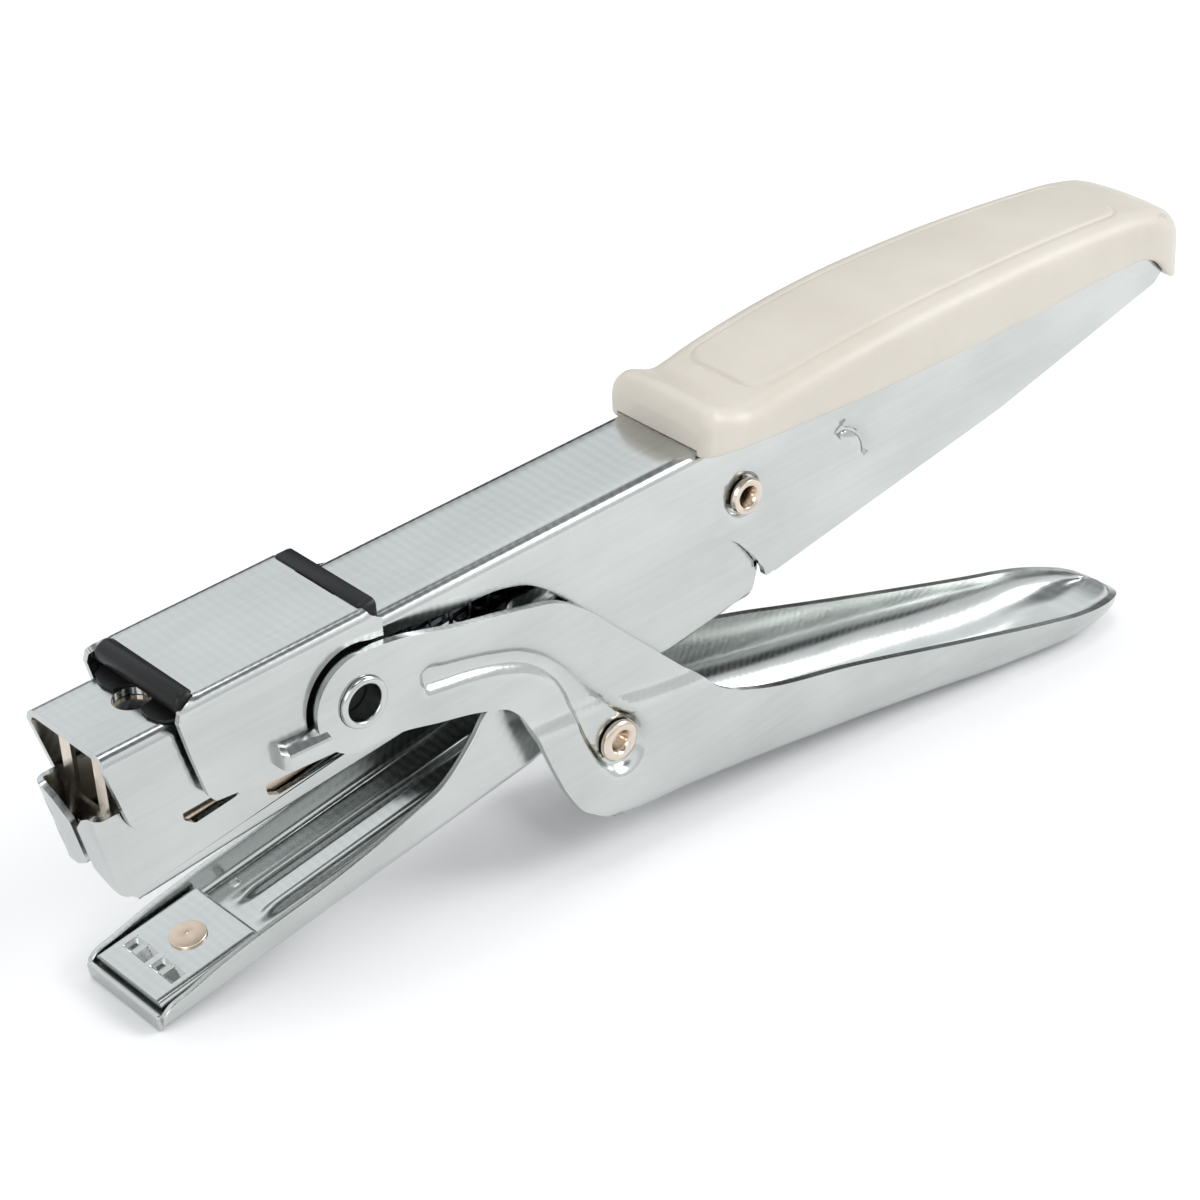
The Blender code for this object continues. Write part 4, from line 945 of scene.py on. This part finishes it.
def makeRivets():
    segments, shank, curl = (rivetValues[k] for k in ("segments", "shank", "rollRadius"))
    inner, outer = rivetValues["hollow"]
    for side, name in ((-1, "Left"), (1, "Right")):
        # tube rolled over outwards, open right through
        roll = [(outer + 0.16 + curl * math.sin(a), 2.5 - curl * math.cos(a))
                for a in np.linspace(0, math.pi, 11)]
        profile = [(inner, 2.06), (inner, 2.4), (outer - 0.02, 2.4), (outer, 2.9)] + roll[::-1]
        turnedPiece(f"hollowRivet{name}", "brightNickel", "hood", [f"hollow_rivet_{name.lower()}"],
                    [(side * y, r) for y, r in profile], hoodPivot, segments, 0.06)
    head = rivetValues["fulcrumHead"]
    dome = [(head + y, r) for y, r in domeProfile]
    middle = [(-head, 2.45), (-head, shank), (head, shank), (head, 2.45)]
    solid = [(-y, r) for y, r in dome[::-1]] + middle + dome
    turnedPiece("fulcrumRivet", "warmNickel", "anvil", ["fulcrum_rivet"], solid, leverPivot, segments, 0.05)
    face = rivetValues["rearHead"]
    flare = [(face + y, r) for y, r in flareProfile]
    tube = [(-y, r) for y, r in flare[::-1]] + [(-face, shank), (face, shank)] + flare
    turnedPiece("rearRivet", "warmNickel", "upper_handle", ["rear_rivet"], tube, rearPivot, segments, 0.05)


makeRivets()
print("rivets ready")


# hood's stops: on each side a lanced loop over the lever arm's front edge

stopValues = {"x": (18.4, 24.3), "armGap": 22.75, "base": 7.9, "under": 9.5, "top": 10.2, "slope": -0.06,
              "edge": 0.3}
# sections up the loop: height, share of how far it stands out, and how far its corners are drawn in
stopLevels = [(-9.95, 0.3, 0.5), (-9.6, 0.95, 0.0), (-8.3, 1.0, 0.0), (-7.75, 0.9, 0.05), (-7.3, 0.62, 0.15),
              (-7.0, 0.3, 0.3), (-6.85, 0.03, 0.5)]


def makeStops():
    x0, x1 = stopValues["x"]
    cut, base, under, top = (stopValues[k] for k in ("armGap", "base", "under", "top"))
    bm = bmesh.new()
    rings = []
    for z, share, draw in stopLevels:
        height = base + (top - base) * share
        low = min(under, height - 0.5) if share > 0.9 else base + 0.02
        corners = [(x0 + draw, base), (cut, base), (cut + 0.02, low), (x1 - draw, low), (x1 - draw, height),
                   (x0 + 0.6 + draw, height), (x0 + 0.1 + draw, base + (height - base) * 0.6)]
        rings.append([bm.verts.new((x, y, z + (x - x0) * stopValues["slope"])) for x, y in corners])
    skinRings(bm, rings)
    twin = bmesh.ops.duplicate(bm, geom=bm.faces[:] + bm.edges[:] + bm.verts[:])["geom"]
    for item in twin:
        if isinstance(item, bmesh.types.BMVert):
            item.co.y = -item.co.y
    bmesh.ops.recalc_face_normals(bm, faces=bm.faces)
    piece = addPiece("hoodStops", bm, "brightNickel", "hood", (), 30)
    addBevel(piece, stopValues["edge"], 3, 28)


makeStops()
print("hood stops ready")


# liner: black moulding between hood and channel, with a round front bar, a rear strip and side flaps; the
# flaps also reach down behind the hollow rivets as painted shade in their bores, and the foot in front of
# the bar is partly painted shadow

linerValues = {"half": 7.35, "rearHalf": 7.55, "endRound": 0.9, "flapAndBoreShade": (6.95, 7.25), "foot": (0.04, 0.36),
               "scoop": (8.0, 2.25), "slabX": (10.5, 31.5), "slabHalf": 7.0, "slab": (0.32, 1.85)}
linerBar = [(10.85, 2.75), (10.3, 3.02), (9.75, 3.05), (9.2, 2.85), (8.8, 2.45), (8.62, 1.95), (8.66, 1.4),
            (8.9, 0.85), (9.35, 0.45), (9.95, 0.3), (10.85, 0.3)]
linerStrip = [(31.2, 2.6), (31.3, 2.85), (31.6, 2.95), (33.05, 2.95), (33.35, 2.85), (33.5, 2.55),
              (33.5, 0.5), (33.4, 0.3), (31.2, 0.3)]


def addBar(bm, section, half, endRound, steps=7):
    middleX = sum(p[0] for p in section) / len(section)
    foot = min(p[1] for p in section)
    stations = []
    for i in range(steps + 1):
        angle = math.pi / 2 * i / steps
        stations.append((half - endRound + endRound * math.sin(angle), 1 - (1 - math.cos(angle)) * 0.55))
    stations = [(-y, share) for y, share in reversed(stations)] + stations
    rings = [[bm.verts.new((middleX + (x - middleX) * share, y, foot + (z - foot) * share))
              for x, z in section] for y, share in stations]
    skinRings(bm, rings)


def addSlab(bm, outline, low, high, place):
    near = [bm.verts.new(place(a, b, low)) for a, b in outline]
    far = [bm.verts.new(place(a, b, high)) for a, b in outline]
    for i in range(len(outline)):
        j = (i + 1) % len(outline)
        bm.faces.new((near[j], near[i], far[i], far[j]))
    bm.faces.new(near)
    bm.faces.new(far[::-1])


def makeLiner():
    bm = bmesh.new()
    addBar(bm, smoothLine(linerBar, 0.25), linerValues["half"], linerValues["endRound"])
    addBar(bm, linerStrip, linerValues["rearHalf"], linerValues["endRound"])
    # foot on the channel's top, scooped round the hole in the nose; it is partly the moulding's lip and
    # partly a painted shadow under the front bar
    level = lambda x, y, z: (x, y, z)
    scoopX, scoopRadius = linerValues["scoop"]
    scoop = arcLine((scoopX, 0), scoopRadius, 40, 104, 0.2)
    foot = [(9.9, 6.6), (8.7, 6.4), (7.9, 6.0), (7.4, 5.1), (7.15, 3.9), (7.3, 2.8)] + scoop[::-1]
    foot = roundCorners([(x, y, 0.25) for x, y in foot], 0.3)
    foot = foot + [(x, -y) for x, y in foot[::-1]]
    addSlab(bm, foot, *linerValues["foot"], level)
    (x0, x1), half = linerValues["slabX"], linerValues["slabHalf"]
    addSlab(bm, [(x0, -half), (x1, -half), (x1, half), (x0, half)], *linerValues["slab"], level)
    # the side flaps reach down behind the hollow rivets, a black sheet that is painted shade in the rivets'
    # bores; higher up they are the moulding's own flaps
    flapAndBoreShade = roundCorners([(12.0, 1.9, 0.2), (33.3, 1.9, 0.4), (33.3, -1.2, 0.5), (31.5, -2.1, 1.0),
                         (31.5, -9.6, 0.6), (22.4, -9.9, 0.6), (12.0, -8.6, 0.6)], 0.4)
    for sign in (-1, 1):
        addSlab(bm, flapAndBoreShade, *linerValues["flapAndBoreShade"], lambda x, z, y, sign=sign: (x, sign * y, z))
    bmesh.ops.recalc_face_normals(bm, faces=bm.faces)
    piece = addPiece("hoodLinerWithPaintedShade", bm, "blackPlastic", "hood", ["hood_liner"], 35)
    addBevel(piece, 0.1, 2, 35)


makeLiner()
print("liner ready")


# flat-headed rivet that holds the clinching plate

anvilRivetValues = {"x": 10.2, "sink": 0.02, "segments": 64}
# radius, then height over the plate
anvilRivetProfile = [(0.0, -1.2), (1.15, -1.2), (1.15, -0.15), (2.02, -0.15), (2.05, -0.05), (2.05, 0.2),
                     (1.99, 0.27), (1.9, 0.29), (1.0, 0.31), (0.3, 0.31), (0.18, 0.29), (0.1, 0.2),
                     (0.0, 0.19)]


def makeAnvilRivet():
    x, sink, segments = (anvilRivetValues[k] for k in ("x", "sink", "segments"))
    bm = bmesh.new()
    tilt = Matrix.Translation((x, 0, anvilFloor(x) + plateValues["lift"] - sink)) \
        @ Matrix.Rotation(-math.atan(anvilValues["slope"]), 4, "Y")
    rings = [[bm.verts.new(tilt @ Vector((r * math.cos(a), r * math.sin(a), z)))
              for r, z in anvilRivetProfile] for a in np.linspace(0, 2 * math.pi, segments + 1)[:-1]]
    for ring, following in zip(rings, rings[1:] + rings[:1]):
        for k in range(len(anvilRivetProfile) - 1):
            bm.faces.new((ring[k], following[k], following[k + 1], ring[k + 1]))
    bmesh.ops.remove_doubles(bm, verts=bm.verts, dist=weldGap)
    bmesh.ops.recalc_face_normals(bm, faces=bm.faces)
    addPiece("anvilRivet", bm, "copperTone", "anvil", ["anvil_rivet"], 35)


makeAnvilRivet()
print("anvil rivet ready")


# springs and staples: one tree sweeps a wire along a coil and its legs, the other lays staples in a stick

def newTree(name, sockets):
    tree = bpy.data.node_groups.new(name, "GeometryNodeTree")
    tree.interface.new_socket("Geometry", in_out="INPUT", socket_type="NodeSocketGeometry")
    tree.interface.new_socket("Geometry", in_out="OUTPUT", socket_type="NodeSocketGeometry")
    for label, kind in sockets:
        tree.interface.new_socket(label, in_out="INPUT", socket_type=kind)
    return tree, tree.nodes.new("NodeGroupInput"), tree.nodes.new("NodeGroupOutput")


def runTree(tree, name, mesh, values, body, replaced, finish, placed):
    holder = bpy.data.objects.new(name, mesh)
    bpy.context.scene.collection.objects.link(holder)
    modifier = holder.modifiers.new(name, "NODES")
    modifier.node_group = tree
    identifiers = {item.name: item.identifier for item in tree.interface.items_tree
                   if item.item_type == "SOCKET" and item.in_out == "INPUT"}
    for label, value in values.items():
        modifier[identifiers[label]] = value
    evaluated = holder.evaluated_get(bpy.context.evaluated_depsgraph_get())
    made = bpy.data.meshes.new_from_object(evaluated)
    bpy.data.objects.remove(holder)
    made.transform(stance @ placed)
    made.materials.clear()
    made.materials.append(finishes[finish])
    piece = bpy.data.objects.new(name, made)
    bpy.context.scene.collection.objects.link(piece)
    made.shade_smooth()
    made.set_sharp_from_angle(angle=math.radians(50))
    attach(piece, body)
    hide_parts(*replaced)
    return piece


def lineMesh(name, lines):
    bm = bmesh.new()
    for line in lines:
        verts = [bm.verts.new(p) for p in line]
        for a, b in zip(verts, verts[1:]):
            bm.edges.new((a, b))
    mesh = bpy.data.meshes.new(name)
    bm.to_mesh(mesh)
    bm.free()
    return mesh


def springTree():
    tree, entry, exitNode = newTree("coiledWire", [
        ("Turns", "NodeSocketFloat"), ("Radius", "NodeSocketFloat"), ("Length", "NodeSocketFloat"),
        ("Wire radius", "NodeSocketFloat"), ("Material", "NodeSocketMaterial")])
    take = lambda label: entry.outputs[label]
    spiral = addNode(tree, "GeometryNodeCurveSpiral", inputs={
        "Resolution": 28, "Rotations": take("Turns"), "Start Radius": take("Radius"),
        "End Radius": take("Radius"), "Height": take("Length")})
    legs = addNode(tree, "GeometryNodeMeshToCurve", inputs={"Mesh": take("Geometry")})
    joined = tree.nodes.new("GeometryNodeJoinGeometry")
    tree.links.new(spiral.outputs[0], joined.inputs[0])
    tree.links.new(legs.outputs[0], joined.inputs[0])
    section = addNode(tree, "GeometryNodeCurvePrimitiveCircle", inputs={
        "Resolution": 10, "Radius": take("Wire radius")})
    wire = addNode(tree, "GeometryNodeCurveToMesh", inputs={
        "Curve": joined.outputs[0], "Profile Curve": section.outputs[0], "Fill Caps": True})
    real = addNode(tree, "GeometryNodeRealizeInstances", inputs={0: wire.outputs[0]})
    painted = addNode(tree, "GeometryNodeSetMaterial", inputs={
        "Geometry": real.outputs[0], "Material": take("Material")})
    tree.links.new(painted.outputs[0], exitNode.inputs[0])
    return tree


def stapleTree():
    tree, entry, exitNode = newTree("stapleStick", [
        ("Count", "NodeSocketInt"), ("Step", "NodeSocketVector"), ("Wire width", "NodeSocketFloat"),
        ("Wire depth", "NodeSocketFloat"), ("Material", "NodeSocketMaterial")])
    take = lambda label: entry.outputs[label]
    wire = addNode(tree, "GeometryNodeMeshToCurve", inputs={"Mesh": take("Geometry")})
    rounded = addNode(tree, "GeometryNodeFilletCurve", {"mode": "POLY"}, {
        "Curve": wire.outputs[0], "Count": 3, "Radius": 0.35})
    section = addNode(tree, "GeometryNodeCurvePrimitiveQuadrilateral", inputs={
        "Width": take("Wire width"), "Height": take("Wire depth")})
    staple = addNode(tree, "GeometryNodeCurveToMesh", inputs={
        "Curve": rounded.outputs[0], "Profile Curve": section.outputs[0], "Fill Caps": True})
    row = addNode(tree, "GeometryNodeMeshLine", inputs={"Count": take("Count"), "Offset": take("Step")})
    stick = addNode(tree, "GeometryNodeInstanceOnPoints", inputs={
        "Points": row.outputs[0], "Instance": staple.outputs[0]})
    real = addNode(tree, "GeometryNodeRealizeInstances", inputs={0: stick.outputs[0]})
    painted = addNode(tree, "GeometryNodeSetMaterial", inputs={
        "Geometry": real.outputs[0], "Material": take("Material")})
    tree.links.new(painted.outputs[0], exitNode.inputs[0])
    return tree


pusherSpringValues = {"Turns": 12.0, "Radius": 1.5, "Length": 31.6, "Wire radius": 0.25}
returnSpringValues = {"Turns": 3.8, "Radius": 2.9, "Length": 7.2, "Wire radius": 0.48}
springPlaces = {"pusherEnd": 38.2, "rodLift": 5.95, "legSide": 3.6, "armLeg": 49.4, "armGap": 1.35,
                "leverLeg": 71.5, "leverDrop": 6.0}
stapleValues = {"Count": 48, "Wire width": 0.5, "Wire depth": 0.4}
stapleShape = {"pitch": 0.52, "crown": 4.55, "leg": 4.7, "start": 2.9, "lift": 0.3}

slopeTurn = Matrix.Rotation(-math.radians(magazineValues["slope"]), 4, "Y")


def magazineInside(x):              # top of the magazine's floor
    return float(magazineFloor(x)) + magazineValues["sheet"] / 2


def makePusherSpring(coil):
    x, length = springPlaces["pusherEnd"], pusherSpringValues["Length"]
    start = Vector((x, 0, magazineInside(x) + springPlaces["rodLift"]))
    placed = Matrix.Translation(start) @ slopeTurn @ Matrix.Rotation(math.pi / 2, 4, "Y")
    spring = runTree(coil, "pusherSpring", lineMesh("noLegs", []),
                     {**pusherSpringValues, "Material": finishes["blueSteel"]},
                     "magazine", ["pusher_spring"], "blueSteel", placed)
    joints = frame["record"]["behaviour"]["joints"]
    travel = next(joint for joint in joints if joint["name"] == "pusher_slide")
    tuple(travel["axis"])
    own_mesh(spring)


def makeReturnSpring(coil):         # lies across, one leg under the anvil arm and one on the lever's web
    radius, length = returnSpringValues["Radius"], returnSpringValues["Length"]
    pivotX, pivotZ = leverPivot
    around = Matrix.Translation((pivotX, -length / 2, pivotZ)) @ Matrix.Rotation(-math.pi / 2, 4, "X")
    back = around.inverted()
    total = returnSpringValues["Turns"] * 2 * math.pi
    first = Vector((radius, 0, 0))
    last = Vector((radius * math.cos(total), radius * math.sin(total), length))
    armLeg, legSide = springPlaces["armLeg"], springPlaces["legSide"]
    legs = [[back @ Vector((armLeg, -legSide, anvilFloor(armLeg) - springPlaces["armGap"])), first],
            [last, back @ Vector((springPlaces["leverLeg"], legSide, pivotZ - springPlaces["leverDrop"]))]]
    runTree(coil, "returnSpring", lineMesh("springLegs", legs),
            {**returnSpringValues, "Material": finishes["drawnWire"]},
            "anvil", ["return_spring"], "drawnWire", around)


def makeStapleStick():
    crown, leg, start = (stapleShape[k] for k in ("crown", "leg", "start"))
    bend = stapleValues["Wire width"] / 2       # the wire's middle line lies this far inside
    low, high, side = 0.2, leg - 0.2, crown - bend
    seat = Matrix.Translation((start, 0, magazineInside(start) + stapleShape["lift"])) @ slopeTurn
    shape = [(0, -side, low), (0, -side, high), (0, side, high), (0, side, low)]
    runTree(stapleTree(), "stapleStick", lineMesh("staple", [shape]),
            {**stapleValues, "Step": (stapleShape["pitch"], 0, 0), "Material": finishes["copperTone"]},
            "magazine", ["staple_strip"], "copperTone", seat)


def makeWireParts():
    coil = springTree()
    makePusherSpring(coil)
    makeReturnSpring(coil)
    makeStapleStick()


makeWireParts()
print("springs and staples ready")


# camera, floor and light

cameraValues = {"azimuth": -39.63, "elevation": 33.1, "roll": -3.88, "lens": 100.7, "sensor": 36,
                "clipStart": 0.01, "target": (68.3, -0.34, -17.06), "distance": 371.4}


def makeCamera():
    azimuth, elevation = math.radians(cameraValues["azimuth"]), math.radians(cameraValues["elevation"])
    roll = math.radians(cameraValues["roll"])
    back = Vector((math.sin(azimuth) * math.cos(elevation), -math.cos(azimuth) * math.cos(elevation),
                   math.sin(elevation)))
    right = Vector((math.cos(azimuth), math.sin(azimuth), 0))
    up = back.cross(right)
    rolledRight = right * math.cos(roll) + up * math.sin(roll)
    rolledUp = up * math.cos(roll) - right * math.sin(roll)
    turned = Matrix((rolledRight, rolledUp, back)).transposed().to_4x4()
    place = stance @ (Vector(cameraValues["target"]) + back * cameraValues["distance"])
    data = bpy.data.cameras.new("camera")
    data.lens = cameraValues["lens"]
    data.sensor_width = cameraValues["sensor"]
    data.clip_start = cameraValues["clipStart"]
    camera = bpy.data.objects.new("camera", data)
    bpy.context.scene.collection.objects.link(camera)
    camera.matrix_world = Matrix.Translation(place) @ leanTurn @ turned
    bpy.context.scene.camera = camera


lightValues = {
    "frontRight": {"place": (0.55, -0.42, 0.60), "size": (0.46, 0.34), "power": 3.2},
    "overhead": {"place": (-0.05, 0.10, 1.10), "size": (0.6, 0.5), "power": 3.0},
    "noseSide": {"place": (-0.85, -0.25, 0.45), "size": (0.35, 0.5), "power": 1.6},
}


def makeLights():
    for name, values in lightValues.items():
        data = bpy.data.lights.new(name, "AREA")
        data.shape = "RECTANGLE"
        data.size, data.size_y = values["size"]
        data.energy = values["power"]
        light = bpy.data.objects.new(name, data)
        bpy.context.scene.collection.objects.link(light)
        light.location = values["place"]
        light.rotation_euler = Vector(values["place"]).to_track_quat("Z", "Y").to_euler()


skyValues = {"strength": 1.0, "flag": (0.60, 0.76, 0.22), "flagEdge": (0.925, 0.972), "flagTone": 0.05,
             "stops": [(0.0, (0.93, 0.93, 0.93)), (0.50, (0.95, 0.95, 0.95)), (0.64, (0.90, 0.91, 0.93)),
                       (0.76, (1.15, 1.17, 1.20)), (0.82, (1.16, 1.19, 1.23)), (0.875, (1.25, 1.28, 1.31)),
                       (0.92, (0.26, 0.265, 0.28)), (0.96, (0.20, 0.205, 0.215)), (1.0, (0.55, 0.56, 0.58))]}


def makeSky():
    world = bpy.data.worlds.new("studio")
    bpy.context.scene.world = world
    world.use_nodes = True
    tree = world.node_tree
    direction = addNode(tree, "ShaderNodeTexCoord").outputs["Generated"]
    parts = addNode(tree, "ShaderNodeSeparateXYZ", inputs={0: direction})
    height = addNode(tree, "ShaderNodeMapRange", inputs={
        "Value": parts.outputs["Z"], "From Min": -1, "From Max": 1, "To Min": 0, "To Max": 1})
    sky = addRamp(tree, height.outputs["Result"], skyValues["stops"])
    # a dark flag behind the tool's rear gives the trough its dark streaks
    toward = addNode(tree, "ShaderNodeVectorMath", {"operation": "DOT_PRODUCT"}, {
        0: direction, 1: Vector(skyValues["flag"]).normalized()})
    shade = addNode(tree, "ShaderNodeMapRange", {"interpolation_type": "SMOOTHSTEP"}, {
        "Value": toward.outputs["Value"], "From Min": skyValues["flagEdge"][0],
        "From Max": skyValues["flagEdge"][1], "To Min": 1, "To Max": skyValues["flagTone"]})
    mixed = addNode(tree, "ShaderNodeVectorMath", {"operation": "SCALE"}, {
        0: sky, "Scale": shade.outputs["Result"]})
    tree.links.new(mixed.outputs["Vector"], tree.nodes["Background"].inputs["Color"])
    tree.nodes["Background"].inputs["Strength"].default_value = skyValues["strength"]


floorValues = {"half": 2.5, "drop": 0.0001, "rough": 0.7, "mottle": 6,
               "tones": [(0.3, (0.90, 0.90, 0.90)), (0.7, (0.93, 0.93, 0.93))]}


def makeFloor():
    bm = bmesh.new()
    bmesh.ops.create_grid(bm, x_segments=2, y_segments=2, size=floorValues["half"])
    mesh = bpy.data.meshes.new("floor")
    bm.to_mesh(mesh)
    bm.free()
    material = bpy.data.materials.new("paleFloor")
    material.use_nodes = True
    tree = material.node_tree
    shader = tree.nodes["Principled BSDF"]
    mottle = addNode(tree, "ShaderNodeTexNoise", inputs={
        "Vector": addNode(tree, "ShaderNodeTexCoord").outputs["Object"],
        "Scale": floorValues["mottle"], "Detail": 3})
    tone = addRamp(tree, mottle.outputs["Fac"], floorValues["tones"])
    tree.links.new(tone, shader.inputs["Base Color"])
    shader.inputs["Roughness"].default_value = floorValues["rough"]
    mesh.materials.append(material)
    floor = bpy.data.objects.new("floor", mesh)
    bpy.context.scene.collection.objects.link(floor)
    floor.location.z = -floorValues["drop"]


makeCamera()
makeLights()
makeSky()
makeFloor()
bpy.context.scene.view_settings.view_transform = "Standard"
print("stage ready")

carriedFinishes = {"driver_blade": "warmNickel", "rear_spacer": "drawnWire",
                   "fulcrum_washer_left": "drawnWire", "fulcrum_washer_right": "drawnWire",
                   "staple_core": "innerNickel", "pusher": "blackPlastic", "guide_rod": "blueSteel",
                   "rod_anchor": "innerNickel"}
for nodeName, finish in carriedFinishes.items():
    for materialSlot in frame["nodes"][nodeName].material_slots:
        materialSlot.material = finishes[finish]
print("carried-over parts finished")
